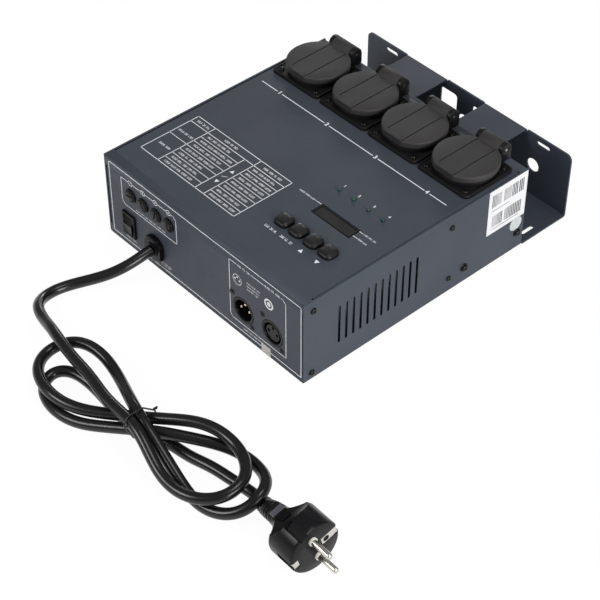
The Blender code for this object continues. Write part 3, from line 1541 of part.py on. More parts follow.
def make_tie(bundle):
    """A wire drawn round all the strands at the waist, its two ends left as short tails."""
    turn = math.radians(TIE_TURN)
    normal = np.array((math.cos(turn), math.sin(turn), 0))
    across = np.array((-math.sin(turn), math.cos(turn), 0))
    centre = np.array((*TIE_AT, 0)) + np.array(CORD_MOVE)
    skin = []
    dense = resampled(bundle, step=CORD / 9)
    for before, point, after in zip(dense, dense[1:], dense[2:]):
        if abs((point - centre) @ normal) > CORD:
            continue
        heading = (after - before) / np.linalg.norm(after - before)
        flat = np.cross(heading, (0, 0, 1))
        flat /= np.linalg.norm(flat)
        rise = np.cross(flat, heading)
        for k in range(12):
            angle = 2 * math.pi * k / 12
            spot = point + CORD / 2 * (flat * math.cos(angle) + rise * math.sin(angle))
            if abs((spot - centre) @ normal) < TIE_PITCH:
                skin.append(((spot - centre) @ across, spot[2]))
    skin = np.array(skin)
    clear = TIE_WIRE + SEAT
    points = []
    for i in range(TIE_POINTS + 1):
        angle = math.radians(TIE_START) + 2 * math.pi * i / TIE_POINTS
        facing = np.array((math.cos(angle), math.sin(angle)))
        u, z = skin[(skin @ facing).argmax()] + facing * clear
        along = TIE_PITCH * (i / TIE_POINTS - 0.5)
        points.append(centre + across * u + normal * along + np.array((0, 0, z)))
    outward = across * TIE_TAIL
    first = points[0] + outward + np.array((0, 0, TIE_TAIL / 6))
    last = points[-1] + outward - np.array((0, 0, TIE_TAIL / 6))
    spread = [first, *points, last]
    kept = [spread[0]]
    for point in spread[1:]:
        if np.linalg.norm(point - kept[-1]) > 2 * TIE_WIRE:
            kept.append(point)
    mesh = shade(tube("cord_tie", [Vector(point) for point in kept], TIE_WIRE, 1))
    link("cord_tie", mesh, black_rubber())


def plug_turn():
    """Turns a shape made along Z so that its +Z is the way the pins point."""
    yaw = Matrix.Rotation(math.radians(PLUG_YAW), 3, "Z")
    pitch = Matrix.Rotation(math.radians(PLUG_PITCH), 3, "Y")
    roll = Matrix.Rotation(math.radians(PLUG_ROLL), 3, "X")
    lay = Matrix.Rotation(math.pi / 2, 3, "Y")
    return (yaw @ pitch @ roll @ lay).to_euler()


def plug_place():
    """Where the middle of the plug's face is: it goes with the cord."""
    return Vector(PLUG_FACE) + CORD_MOVE


def plug_boot():
    """The ribbed strain relief: a tapering tube from the cord up to the plug's neck."""
    turn = plug_turn().to_matrix()
    axis = turn @ Vector((0, 0, 1))
    face = plug_place()
    neck = face - axis * (PLUG_DRUM + PLUG_FLARE)
    ends = [Vector(BOOT_START) + CORD_MOVE, neck + axis * 0.002]
    away = (ends[1] - ends[0]).length / 3
    route = cord_route()
    lead_in = (Vector(route[-1]) - Vector(route[-2])).normalized()
    handles = [ends[0] + lead_in * away, ends[1] - axis * away]
    points = []
    radii = []
    count = 2 * BOOT_RIBS + 1
    for i in range(count):
        share = i / (count - 1)
        keep = 1 - share
        point = (
            keep ** 3 * ends[0]
            + 3 * keep ** 2 * share * handles[0]
            + 3 * keep * share ** 2 * handles[1]
            + share ** 3 * ends[1]
        )
        points.append(point)
        width = BOOT_END + (PLUG_NECK - BOOT_END) * share
        radii.append((width - (BOOT_RIB if i % 2 else 0)) / PLUG_NECK)
    return tube("plug_boot", points, PLUG_NECK, 3, radii)


def plug_drum():
    """The plug's round body: face, drum, and the flare down to the neck."""
    back = -PLUG_DRUM
    neck = back - PLUG_FLARE
    profile = [(0, 0), (PLUG - PLUG_EDGE, 0), (PLUG - PLUG_EDGE * 0.3, -PLUG_EDGE * 0.3)]
    profile += [(PLUG, -PLUG_EDGE), (PLUG, back + 0.002)]
    profile += [(PLUG - 0.0006, back + 0.0004), (PLUG - 0.0022, back - 0.0006)]
    run = PLUG - 0.0022 - PLUG_NECK
    for i in range(1, 6):
        share = i / 5
        radius = PLUG_NECK + run * (1 - math.sin(share * math.pi / 2)) ** 1.2
        profile.append((radius, back - 0.0006 - (PLUG_FLARE - 0.0006) * share))
    profile.append((0, neck))
    return turned("plug_drum", profile, 26)


def plug_cuts():
    """Pin bores, the guide grooves, and the channels that the earth strap lies in."""
    bm = bmesh.new()
    for side in (-1, 1):
        x = side * CONTACT_SPACING / 2
        root = -PLUG_PIN_ROOT - SEAT
        rod(bm, PLUG_PIN + SEAT, (x, 0, root), (x, 0, SHEET), sides=12)
        edges = sorted((side * (PLUG - PLUG_GUIDE_DEPTH), side * (PLUG + SHEET)))
        half = PLUG_GUIDE_WIDTH / 2
        block(bm, (edges[0], -half, -PLUG_GUIDE_LENGTH), (edges[1], half, SHEET))
    bores = as_mesh("plug_bores", bm)
    bm = bmesh.new()
    wide = STRAP_WIDTH / 2 + SEAT
    inner = STRAP_HALF - STRAP_THICK - SEAT
    deep = -STRAP_ARM - SEAT
    for side in (-1, 1):
        edges = sorted((side * inner, side * (PLUG + SHEET)))
        block(bm, (-wide, edges[0], deep), (wide, edges[1], SHEET))
    arms = as_mesh("strap_arms_room", bm)
    bm = bmesh.new()
    link_half = STRAP_THICK / 2 + SEAT
    low = (-wide / 2, -inner - SEAT, -STRAP_LINK - link_half)
    block(bm, low, (wide / 2, inner + SEAT, -STRAP_LINK + link_half))
    middle = as_mesh("strap_link_room", bm)
    bm = bmesh.new()
    sunk = STRAP_THICK + SEAT
    far = STRAP_HALF - STRAP_FACE - SEAT
    block(bm, (-wide, far, -sunk), (wide, PLUG + SHEET, SHEET))
    near = -STRAP_HALF + STRAP_TAB + SEAT
    block(bm, (-wide, -PLUG - SHEET, -sunk), (wide, near, SHEET))
    faces = as_mesh("strap_face_room", bm)
    return bores, arms, middle, faces


def make_plug():
    """The mains plug: one moulding with its boot, two pins and the earth strap."""
    turn = plug_turn()
    face = plug_place()
    body = link("plug_body", plug_drum(), black_rubber(), face, turn)
    boolean(body, tool("plug_boot", plug_boot()), "UNION")
    for mesh in plug_cuts():
        boolean(body, tool(mesh.name, mesh, face, turn))

    tip = PLUG_PIN_LENGTH
    profile = [
        (0, tip),
        (PLUG_PIN * 0.55, tip - 0.0001),
        (PLUG_PIN, tip - 0.0016),
        (PLUG_PIN, -PLUG_PIN_ROOT),
        (0, -PLUG_PIN_ROOT),
    ]
    pin = shade(turned("plug_pin", profile, 12))
    matrix = turn.to_matrix()
    for number, side in enumerate((-1, 1), 1):
        offset = matrix @ Vector((side * CONTACT_SPACING / 2, 0, 0))
        link(f"plug_pin_{number}", pin, nickel(), face + offset, turn)
    make_plug_strap(face, turn)


def make_plug_strap(place, turn):
    """The earth strap: two side arms, a link between them, and its ends on the face."""
    half = STRAP_WIDTH / 2
    thick = STRAP_THICK
    face = -SEAT
    strap = None
    sections = (
        ((-half, STRAP_HALF - thick, -STRAP_ARM), (half, STRAP_HALF, face)),
        ((-half, -STRAP_HALF, -STRAP_ARM), (half, thick - STRAP_HALF, face)),
        ((-half / 2, -STRAP_HALF + thick / 2, -STRAP_LINK - thick / 2),
         (half / 2, STRAP_HALF - thick / 2, -STRAP_LINK + thick / 2)),
        ((-half, STRAP_HALF - STRAP_FACE, face - thick), (half, STRAP_HALF - thick / 2, face)),
        ((-half, thick / 2 - STRAP_HALF, face - thick), (half, STRAP_TAB - STRAP_HALF, face)),
    )
    for number, (low, high) in enumerate(sections):
        bm = bmesh.new()
        block(bm, low, high)
        mesh = as_mesh(f"strap_{number}", bm)
        if strap is None:
            strap = link("plug_earth_strap", mesh, nickel(), place, turn)
        else:
            boolean(strap, tool(mesh.name, mesh, place, turn), "UNION")
    bm = bmesh.new()
    ends = (0, STRAP_HOLE_Y, face + thick), (0, STRAP_HOLE_Y, face - 2 * thick)
    rod(bm, STRAP_HOLE, *ends, sides=12)
    boolean(strap, tool("strap_hole", as_mesh("strap_hole", bm), place, turn))


def main():
    start()
    make_base_pan()
    make_top_cover()
    make_sockets()
    make_controls()
    make_control_board()
    make_fuses()
    make_mains_switch()
    make_signal_connectors()
    make_cord_gland()
    make_power_board()
    make_heat_sink()
    make_cord()
    make_plug()


main()
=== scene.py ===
"""The dressed model of a four-channel dimmer pack with its mains cord.

Metres, +Z up, in the CAD's own frame: the origin is the centre of the case's footprint,
the connectors face -Y and the mounting bracket is at +Y.
"""

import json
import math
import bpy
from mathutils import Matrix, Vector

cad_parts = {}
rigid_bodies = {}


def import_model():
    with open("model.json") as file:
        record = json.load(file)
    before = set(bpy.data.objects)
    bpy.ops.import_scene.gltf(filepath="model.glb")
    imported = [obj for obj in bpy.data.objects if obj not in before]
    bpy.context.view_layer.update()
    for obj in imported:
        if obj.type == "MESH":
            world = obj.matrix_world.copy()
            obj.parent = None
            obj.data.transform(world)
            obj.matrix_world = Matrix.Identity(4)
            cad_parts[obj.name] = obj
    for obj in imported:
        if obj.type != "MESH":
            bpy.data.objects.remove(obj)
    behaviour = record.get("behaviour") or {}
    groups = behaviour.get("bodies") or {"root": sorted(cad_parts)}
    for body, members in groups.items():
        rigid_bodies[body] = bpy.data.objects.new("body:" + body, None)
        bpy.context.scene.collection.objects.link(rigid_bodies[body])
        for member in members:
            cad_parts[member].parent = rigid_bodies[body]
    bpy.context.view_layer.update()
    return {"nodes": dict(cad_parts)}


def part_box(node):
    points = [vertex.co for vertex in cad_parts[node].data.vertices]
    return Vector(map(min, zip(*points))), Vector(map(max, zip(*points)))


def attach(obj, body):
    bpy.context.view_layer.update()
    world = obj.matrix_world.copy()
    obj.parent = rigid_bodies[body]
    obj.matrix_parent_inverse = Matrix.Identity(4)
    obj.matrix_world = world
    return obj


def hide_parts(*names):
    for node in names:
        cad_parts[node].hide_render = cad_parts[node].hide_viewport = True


bl_info = {
    "name": "Dimmer Pack",
    "version": (1, 0, 0),
    "blender": (4, 5, 0),
    "location": "View3D > Sidebar > Dimmer Pack",
    "description": "Dresses the CAD model of a four-channel dimmer pack",
    "category": "Add Mesh",
}

import bpy
import numpy as np
from bpy.props import FloatProperty, FloatVectorProperty, PointerProperty
from mathutils import Matrix, Vector

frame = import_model()

# Case
CASE_WIDTH = 0.237
CASE_DEPTH = 0.2366
CASE_HEIGHT = 0.0796
SHEET = 0.0015
SEAT = 0.0003
RIGHT = CASE_WIDTH / 2
LEFT = -CASE_WIDTH / 2
FRONT = -CASE_DEPTH / 2
REAR = CASE_DEPTH / 2

# Where the vents are in both sides
VENT_LOW, VENT_HIGH = 0.0205, 0.0600
VENT_FRONT, VENT_REAR = -0.0860, 0.0020

# Sockets, about each socket's own axis at the case's top
SOCKETS = (1, 2, 3, 4)
SOCKET_PITCH = 0.057
SOCKET_Y = REAR - 0.0374
FLANGE_HALF = 0.0275
FLANGE_FRONT = -0.0279
FLANGE_BACK = 0.0261
FLANGE_THICK = 0.0025
FLANGE_CORNER = 0.0045
FLANGE_RIM = 0.0020
SOCKET_BODY = 0.0223
SOCKET_BODY_DEPTH = 0.0296
COLLAR = 0.0250
COLLAR_TOP = 0.0071
WELL = 0.0197
WELL_FLOOR = COLLAR_TOP - 0.0175
CONTACT_X = 0.0095
CONTACT_HOLE = 0.0028
CONTACT_DEPTH = 0.012
GUIDE_WIDTH = 0.0048
GUIDE_REACH = 0.0020
SCREW_X = 0.02125
SCREW_ROWS = (-0.0221, 0.0203)

# Lids and hinges
LID = 0.0270
LID_TOP = 0.0129
LID_BOTTOM = 0.0074
LID_ROOF = 0.0022
LID_WALL = 0.0028
LID_CHORD = 0.0250
GROOVE_X = 0.0095
GROOVE_WIDTH = 0.0011
GROOVE_DEPTH = 0.0006
HINGE_BACK = 0.0304
HINGE_HEIGHT = 0.0107
BARREL = 0.0058
HOOD_HALF = 0.0103
EAR_THICK = 0.0038
EAR_HALF = HOOD_HALF + SEAT + EAR_THICK
HINGE_CAVITY = 0.0039
CHEEK = 0.0020
PIN = 0.0012

# Control panel
BUTTON_X = RIGHT - 0.0556
BUTTON_Y = -0.0665
BUTTON_PITCH = 0.0162
BUTTON_HALF = 0.0069
BUTTON_CORNER = 0.0044
BUTTON_STEM = 0.0020
BUTTON_FOOT = -0.00525
LED_X = RIGHT - 0.0555
LED_Y = -0.0103
LED_PITCH = 0.0162
LED = 0.0015
LED_FOOT = -0.0117
DISPLAY_HALF = (0.02135, 0.0065)
DISPLAY_AT = (RIGHT - 0.0551, -0.0370)
DISPLAY_SUNK = 0.0010

# Front panel
FUSE_X = LEFT + 0.0566
FUSE_Z = 0.0569
FUSE_PITCH = 0.0158
FUSE_RING = 0.0063
FUSE_RING_THICK = 0.0013
FUSE_BARREL = 0.0057
FUSE_BARREL_DEPTH = 0.026
FUSE_BORE = 0.0038
FUSE_HEAD = 0.0047
FUSE_HEAD_THICK = 0.0024
FUSE_NECK = 0.0034
FUSE_NECK_LENGTH = 0.008
FUSE_NECK_BORE = 0.0029
DRIVER_SLOT_HALF = 0.0006
DRIVER_SLOT_DEPTH = 0.0012
SLOT_TURNS = (14, -64, 76, 90)
SIGNAL_IN_X = RIGHT - 0.0691
SIGNAL_OUT_X = RIGHT - 0.0358
SIGNAL_Z = 0.0273
NOSE = 0.0119
BORE = 0.0093
NECK = 0.0075
SIGNAL_CIRCLE = 0.0047
SIGNAL_PIN = 0.0012
SIGNAL_DEPTH = 0.0175
SIGNAL_FLANGE_HALF = (0.013, 0.0155)
SIGNAL_BASE_THICK = 0.0025
SIGNAL_CORNERS = ((0.0367, 0.0384), (0.0590, 0.0159), (0.0714, 0.0391), (0.0930, 0.0160))
GLAND_X = LEFT + 0.0617
GLAND_Z = 0.0218
GLAND_REACH = 0.0054
GLAND_FLANGE = 0.0120
GLAND_THICK = 0.0040
GLAND_FLAT = 0.0097
GLAND_BARREL = 0.0080
GLAND_NUT = 0.0112
GLAND_NUT_THICK = 0.0050

# Screws in both sides: (y, z, head's radius). Heads wider than WASHED_FROM have a washer.
SIDE_SCREWS = (
    (-0.1094, 0.0701, 0.0028),
    (-0.1106, 0.0076, 0.0028),
    (0.0337, 0.0147, 0.0025),
    (0.0510, 0.0158, 0.0032),
    (0.0339, 0.0667, 0.0027),
    (0.1115, 0.0175, 0.0031),
)
WASHER = 0.0041
WASHED_FROM = 0.0030

# Mains cord's route, as the CAD has it
CORD = 0.0090
CORD_EXIT = (-0.0568, -0.1237)
CORD_POINTS = 269
CORD_SOFTENING = 9
LEAD_ROUTE = (
    (-0.0568, -0.1237, 0.0218),
    (-0.0568, -0.1294, 0.0216),
    (-0.0567, -0.1350, 0.0206),
    (-0.0569, -0.1400, 0.0189),
    (-0.0588, -0.1483, 0.0164),
    (-0.0615, -0.1552, 0.0140),
    (-0.0651, -0.1618, 0.0116),
    (-0.0743, -0.1734, 0.0077),
    (-0.0824, -0.1859, 0.0056),
    (-0.0868, -0.1980, 0.0048),
    (-0.0872, -0.2085, 0.0048),
    (-0.0820, -0.2155, 0.0060),
    (-0.0709, -0.2267, 0.0158),
    (-0.0537, -0.2303, 0.0140),
    (-0.0409, -0.2342, 0.0226),
    (-0.0214, -0.2399, 0.0267),
    (-0.0003, -0.2437, 0.0248),
    (0.0237, -0.2449, 0.0261),
    (0.0503, -0.2512, 0.0251),
)
WAIST = (
    (0.0923, -0.2539, 0.0312),
    (0.0729, -0.2410, 0.0159),
    (0.0783, -0.2439, 0.0298),
    (0.0963, -0.2383, 0.0176),
    (0.0726, -0.2454, 0.0063),
)
LOBES = (
    (0.1412, -0.2353, 0.0387, 0.0289, 2.1, (0.0131, 0.0156, 0.0218, 0.0209, 0.0265)),
    (0.0096, -0.2463, 0.0394, 0.0276, -3.1, (0.0129, 0.0155, 0.0115, 0.0201, 0.0115)),
    (0.1594, -0.2287, 0.0360, 0.0261, -2.0, (0.0026, 0.0086, 0.0242, 0.0113, 0.0134)),
    (0.0178, -0.2575, 0.0336, 0.0190, -3.1, (0.0053, 0.0050, 0.0040, 0.0094, 0.0039)),
)
LOBE_POINTS = 9
TAIL_ROUTE = (
    (0.1033, -0.2318, 0.0072),
    (0.1198, -0.2315, 0.0025),
    (0.1362, -0.2251, 0.0072),
    (0.1523, -0.2224, 0.0040),
    (0.1669, -0.2213, 0.0048),
    (0.1785, -0.2162, 0.0043),
)
BOOT_START = (0.1910, -0.2213, 0.0076)
BUNDLE_STARTS_Y = -0.2135
CORD_FINER = 3

# Wire tie
TIE_AT = (0.083, -0.246)
TIE_TURN = math.radians(8.7)
TIE_START = math.radians(40)
TIE_POINTS = 44
TIE_PITCH = 0.0020
TIE_TAIL = 0.006
SKIN_SIDES = 24
TWIST_STEPS = 16
TWIST_TURNS = 1.5

# Mains plug, made along +Z from its face at z = 0
PLUG_FACE = (0.2527, -0.2289, 0.0222)
PLUG_YAW, PLUG_PITCH, PLUG_ROLL = -2, -2, 16
PLUG = 0.0210
PLUG_DRUM = 0.0250
PLUG_FLARE = 0.0145
PLUG_NECK = 0.0082
PLUG_PIN = 0.0024
PLUG_PIN_LENGTH = 0.0190
PLUG_PIN_ROOM = 0.0103
PLUG_COLLAR = 0.0034
PLUG_GUIDE_DEEP = 0.0034
PLUG_GUIDE_HALF = 0.0037
PLUG_GUIDE_LONG = 0.0170
GRIP_HALF = 0.0052
BOOT_RIBS = 7
BOOT_STEPS = 12
BOOT_END = 0.0062
BOOT_RIB = 0.0010
GUIDE_TURN = 14
SCOOP = 0.0220
SCOOP_Z = -0.0360
RIDGES = 4
RIDGE_Z = -0.0330
RIDGE_PITCH = 0.0019
RIDGE_RISE = 0.0011
PAD_SPAN = (-0.0398, -0.0350)
STRAP_HALF = 0.0195
STRAP_THICK = 0.0009
STRAP_ARM = 0.0150
STRAP_WIDTH = 0.0070
STRAP_ENDS = (0.0060, -0.0150)
STRAP_BRIDGE = -0.0100

# Prints and labels. Places on a panel are in millimetres, as a print sheet has them.
PRINT_GAP = 0.00002
CHANNEL_Y, CHANNEL_STROKE = 38.2, 0.85
CHANNEL_ENDS = (-107.0, 106.3)
CHANNEL_NUMBERS = (-85.5, -28.6, 28.0, 85.6)
LAMP_NUMBERS = (38.3, 54.6, 71.3, 87.8)
TABLE = (-105.5, 8.1, -31.6, -91.2)
TABLE_HEAD = -39.9
TABLE_COLUMNS = (-84.0, -38.3, -28.0)
TABLE_ROWS = 7
TABLE_STROKE = 0.55
GROUP_ROW = 3
MENU_WORDS = (26.5, 38.0, 33.0, 32.5, 28.0, 31.0, 33.0)
SHOWN_WORDS = (25.5, 29.0, 29.0, 26.5, 27.5, 25.5, 29.0)
TOP_WORDS = (
    (-101.5, -36.0, 15.0, 3, 1.9),
    (-67.0, -36.0, 15.0, 3, 1.9),
    (-20.0, -36.0, 20.0, 4, 1.9),
    (-103.0, -54.0, 17.5, 3),
    (-101.0, -76.0, 13.0, 2),
    (18.0, -32.2, 16.5, 3, 1.3),
    (89.8, -31.9, 11.8, 3, 1.3),
    (90.0, -38.8, 9.6, 2, 1.3),
    (31.2, -79.5, 12.8, 3, 2.0),
    (48.3, -79.5, 13.2, 3, 2.0),
)
TOP_TRIANGLES = (
    (-32.9, -57.7, 2.3, True),
    (-32.9, -73.5, 2.3, False),
    (71.5, -79.9, 2.4, True),
    (88.3, -78.9, 2.4, False),
)
TOP_STROKES = (
    ((-34.9, -67.0), (-30.8, -64.4), 0.4),
    ((35.4, -32.0), (41.8, -32.0), 0.5),
    ((84.9, -32.1), (88.6, -32.1), 0.5),
    ((84.9, -38.9), (89.2, -38.9), 0.5),
)
BORDER = ((-112.6, 4.9), (115.0, 4.9), (115.0, 76.0), (-112.6, 76.0), (-112.6, 4.9))
FUSE_FRAME = ((-97.5, 69.0), (-97.5, 45.6), (-94.0, 42.6), (-29.2, 42.6), (-29.2, 66.2),
              (-32.2, 69.0))
FUSE_NUMBERS = (-85.7, -69.7, -54.3, -38.2)
SIGNAL_FRAME = ((34.2, 70.4), (34.2, 15.0), (36.6, 12.4), (98.2, 12.4), (98.2, 67.6),
                (95.4, 70.4))
SIGNAL_TOP_LINES = ((34.2, 42.0), (59.5, 73.5), (93.4, 95.4))
CONTACTS_MARK, CONTACTS_CIRCLE = (43.3, 55.2), 2.6
OUTPUT_MARK = (79.2, 54.7)
FRONT_WORDS = (
    (-80.4, 45.4, 37.0, 7, 1.0),
    (-96.0, 9.3, 13.4, 2, 1.0),
    (-51.8, 10.9, 13.8, 3, 0.9),
    (-51.8, 8.9, 12.0, 3, 0.9),
    (43.4, 70.3, 15.0, 3, 1.7),
    (74.8, 70.6, 17.4, 3, 1.7),
    (54.4, 59.3, 15.0, 3, 1.1),
    (54.4, 56.2, 14.0, 3, 1.1),
    (54.4, 53.1, 13.0, 3, 1.1),
    (49.4, 8.7, 21.0, 4, 1.1),
)
LABEL_LOW, LABEL_HIGH = (0.0743, 0.0342), (0.1176, 0.0788)
LABEL_THICK = 0.00016
BARCODES = (
    (67.5, 11.5, ((78.0, 88.0), (91.5, 99.0), (100.5, 106.5), (108.5, 114.0))),
    (46.5, 11.0, ((79.5, 91.5), (93.5, 111.5))),
)
LABEL_LINES = ((57.5, 78.0, 98.0), (38.5, 79.5, 110.0))
BAR_THIN, BAR_SPREAD, BAR_GAP = 0.35, 0.95, 0.75
STICKER = 0.0068
STICKER_AT = (0.1088, 0.0284)
SEAL_X = (0.0700, 0.0806)
SEAL_REACH = 0.0092
SEAL_THICK = 0.00012

# Bands of the nodes that stay from the CAD
POWER_BOARD_TOP = 0.0096
CONTROL_BOARD_TOP = CASE_HEIGHT - SHEET - 0.0105
FUSE_FERRULE_Y = FRONT + 0.0165
BOARD_GREEN = (0.02, 0.11, 0.05)

# Stage
FLOOR_SIZE, FLOOR_DROP = 30, 0.0003
FLOOR_GLOW, FLOOR_GLOW_SHARE, FLOOR_WHITE = 1.03, 0.93, 0.86
SURROUND = 0.30
LAMPS = (
    ("right_softbox", (1.7, -0.15, 0.55), 0.8, 21.0),
    ("top_softbox", (0.35, 0.15, 1.8), 0.7, 7.0),
    ("front_fill", (-0.5, -1.6, 1.1), 0.7, 14.0),
    ("rear_strip", (-1.30, 1.30, 0.60), 0.45, 4.5),
)
LAMP_AIM = (0.05, -0.05, 0.03)

# Camera, fitted to the photograph
CAMERA_AT = (0.8108, -0.7446, 0.9636)
CAMERA_AIM = (0.07934, -0.08738, 0.0400)
CAMERA_ROLL = math.radians(0.065)
CAMERA_LENS = 107.5
CAMERA_SENSOR = 36.0
CAMERA_FAR = 20


# ---- modelling helpers


def put_down():
    """Object mode with nothing selected, so that the next operator acts on one piece."""
    if bpy.context.mode != "OBJECT":
        bpy.ops.object.mode_set(mode="OBJECT")
    bpy.ops.object.select_all(action="DESELECT")


def pick(piece):
    put_down()
    piece.select_set(True)
    bpy.context.view_layer.objects.active = piece


def open_mesh(piece=None):
    """Edit mode on a piece, all of it selected."""
    if piece:
        pick(piece)
    bpy.ops.object.mode_set(mode="EDIT")
    bpy.ops.mesh.select_all(action="SELECT")


def close_mesh():
    """Doubles merged and faces outwards, then back to object mode."""
    bpy.ops.mesh.select_all(action="SELECT")
    bpy.ops.mesh.remove_doubles(threshold=0.000002)
    bpy.ops.mesh.normals_make_consistent(inside=False)
    bpy.ops.object.mode_set(mode="OBJECT")


def rise(first, levels):
    """Extrude what is selected through levels of (scale in x, scale in y, height)."""
    bpy.ops.transform.translate(value=(0, 0, first[2]))
    for before, after in zip((first, *levels), levels):
        up = (0, 0, after[2] - before[2])
        bpy.ops.mesh.extrude_region_move(TRANSFORM_OT_translate={"value": up})
        size = (after[0] / before[0], after[1] / before[1], 1)
        bpy.ops.transform.resize(value=size, center_override=(0, 0, after[2]))


def lathe(name, profile, sides=64):
    """A round form: a disc drawn up, out, in and down along (radius, height) pairs."""
    put_down()
    bpy.ops.mesh.primitive_circle_add(vertices=sides, radius=profile[0][0], fill_type="NGON")
    piece = bpy.context.object
    piece.name = name
    open_mesh()
    levels = [(radius, radius, height) for radius, height in profile]
    rise(levels[0], levels[1:])
    close_mesh()
    return piece


def slab(name, half, corner, levels, steps=6):
    """A rounded rectangle raised through levels of (inset, height)."""
    put_down()
    bpy.ops.mesh.primitive_plane_add(size=2)
    piece = bpy.context.object
    piece.name = name
    open_mesh()
    inset = levels[0][0]
    bpy.ops.transform.resize(value=(half[0] - inset, half[1] - inset, 1))
    if corner:
        bpy.ops.mesh.bevel(offset=corner, segments=steps, affect="VERTICES")
        bpy.ops.mesh.select_all(action="SELECT")
    sized = [(half[0] - d, half[1] - d, height) for d, height in levels]
    rise(sized[0], sized[1:])
    close_mesh()
    return piece


def extrusion(name, outline, push):
    """A flat outline pulled along a vector: a disc whose corners are set on the outline."""
    put_down()
    bpy.ops.mesh.primitive_circle_add(vertices=len(outline), radius=PIN, fill_type="NGON")
    piece = bpy.context.object
    piece.name = name
    for corner, place in zip(piece.data.vertices, outline):
        corner.co = place
    open_mesh()
    bpy.ops.mesh.extrude_region_move(TRANSFORM_OT_translate={"value": push})
    close_mesh()
    return piece


def box(name, low, high):
    """A block between two corners, for cuts and joints."""
    put_down()
    middle = [(a + b) / 2 for a, b in zip(low, high)]
    bpy.ops.mesh.primitive_cube_add(size=1)
    piece = bpy.context.object
    piece.name = name
    open_mesh()
    bpy.ops.transform.resize(value=[b - a for a, b in zip(low, high)])
    bpy.ops.transform.translate(value=middle)
    close_mesh()
    return piece


def rod(name, radius, start, end, sides=32):
    """A round bar from one point to another, for cuts and joints."""
    start, end = Vector(start), Vector(end)
    piece = lathe(name, [(radius, 0.0), (radius, (end - start).length)], sides)
    turn = Vector((0, 0, 1)).rotation_difference(end - start).to_matrix().to_4x4()
    move(piece, Matrix.Translation(start) @ turn)
    return piece


def move(piece, matrix):
    """Change a piece's place in its mesh, its object left at the origin."""
    piece.data.transform(matrix)
    piece.data.update()


def shift(x, y, z=0.0):
    return Matrix.Translation((x, y, z))


def turned(degrees, axis="Z"):
    return Matrix.Rotation(math.radians(degrees), 4, axis)


def span(side, near, far):
    """Two distances from the middle, taken to one side and put in rising order."""
    return sorted((side * near, side * far))


def put_in(name, data):
    """A new object in the scene."""
    made = bpy.data.objects.new(name, data)
    bpy.context.scene.collection.objects.link(made)
    return made


def arc(centre, radius, first, last, steps):
    """Points on an arc, angles in degrees."""
    turns = [math.radians(first + (last - first) * i / steps) for i in range(steps + 1)]
    return [(centre[0] + radius * math.cos(a), centre[1] + radius * math.sin(a)) for a in turns]


def combine(piece, other, how="DIFFERENCE"):
    """Cut another piece away, or add it, and drop it."""
    pick(piece)
    step = piece.modifiers.new("combine", "BOOLEAN")
    step.object = other
    step.operation = how
    step.solver = "EXACT"
    bpy.ops.object.modifier_apply(modifier=step.name)
    bpy.data.objects.remove(other, do_unlink=True)


def ease(piece, width, segments=2, angle=40):
    """Round the sharp edges."""
    pick(piece)
    step = piece.modifiers.new("ease", "BEVEL")
    step.width = width
    step.segments = segments
    step.limit_method = "ANGLE"
    step.angle_limit = math.radians(angle)
    bpy.ops.object.modifier_apply(modifier=step.name)


def smooth(piece, angle=32):
    pick(piece)
    bpy.ops.object.shade_smooth_by_angle(angle=math.radians(angle))


def weigh(piece):
    """Keep large flat faces flat in the shading, with the rounding left to the edges."""
    pick(piece)
    step = piece.modifiers.new("weigh", "WEIGHTED_NORMAL")
    step.weight = 100
    step.keep_sharp = True
    bpy.ops.object.modifier_apply(modifier=step.name)


def copy(piece, name, matrix=Matrix()):
    """A copy with its own mesh, moved by a matrix."""
    mesh = piece.data.copy()
    mesh.name = name
    made = put_in(name, mesh)
    move(made, matrix)
    return made


def drop(*pieces):
    for piece in pieces:
        bpy.data.objects.remove(piece, do_unlink=True)


def settle(piece, finish, *nodes, body="case", slot="black_plastic"):
    """Give a piece its finish and its body, and hide the nodes it stands for; the slot is not
    used.
    """
    piece.data.materials.clear()
    piece.data.materials.append(finish)
    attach(piece, body)
    if nodes:
        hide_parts(*nodes)
    return piece


def on_top(x, y, height=CASE_HEIGHT):
    return shift(x, y, height)


def on_front(x, z):
    """From a shape made along +Z to one that faces the front."""
    return shift(x, FRONT, z) @ turned(90, "X")


def on_side(y, z, side=1):
    """From a shape made along +Z to one that faces the right or the left."""
    return shift(side * RIGHT, y, z) @ turned(side * 90, "Y")


def row(middle, pitch, count=4):
    return [middle + pitch * (i - (count - 1) / 2) for i in range(count)]


def tube(name, points, radius, resolution=6, radii=None):
    """A round curve along points."""
    curve = bpy.data.curves.new(name, "CURVE")
    curve.dimensions = "3D"
    curve.bevel_depth = radius
    curve.bevel_resolution = resolution
    curve.use_fill_caps = True
    spline = curve.splines.new("POLY")
    spline.points.add(len(points) - 1)
    for i, point in enumerate(points):
        spline.points[i].co = (*point, 1.0)
        spline.points[i].radius = radii[i] if radii else 1.0
    spline.use_smooth = True
    return put_in(name, curve)


def as_mesh(piece):
    """Turn a curve or a text into a mesh with closed caps."""
    pick(piece)
    bpy.ops.object.convert(target="MESH")
    piece = bpy.context.object
    open_mesh()
    close_mesh()
    return piece


# ---- finishes


def node_group(name, inputs, outputs):
    """A shader node group with its sockets, and its input and output nodes."""
    tree = bpy.data.node_groups.new(name, "ShaderNodeTree")
    for label, kind, value in inputs:
        socket = tree.interface.new_socket(label, in_out="INPUT", socket_type=kind)
        if value is not None:
            socket.default_value = value
    for label, kind in outputs:
        tree.interface.new_socket(label, in_out="OUTPUT", socket_type=kind)
    return tree, tree.nodes.new("NodeGroupInput"), tree.nodes.new("NodeGroupOutput")


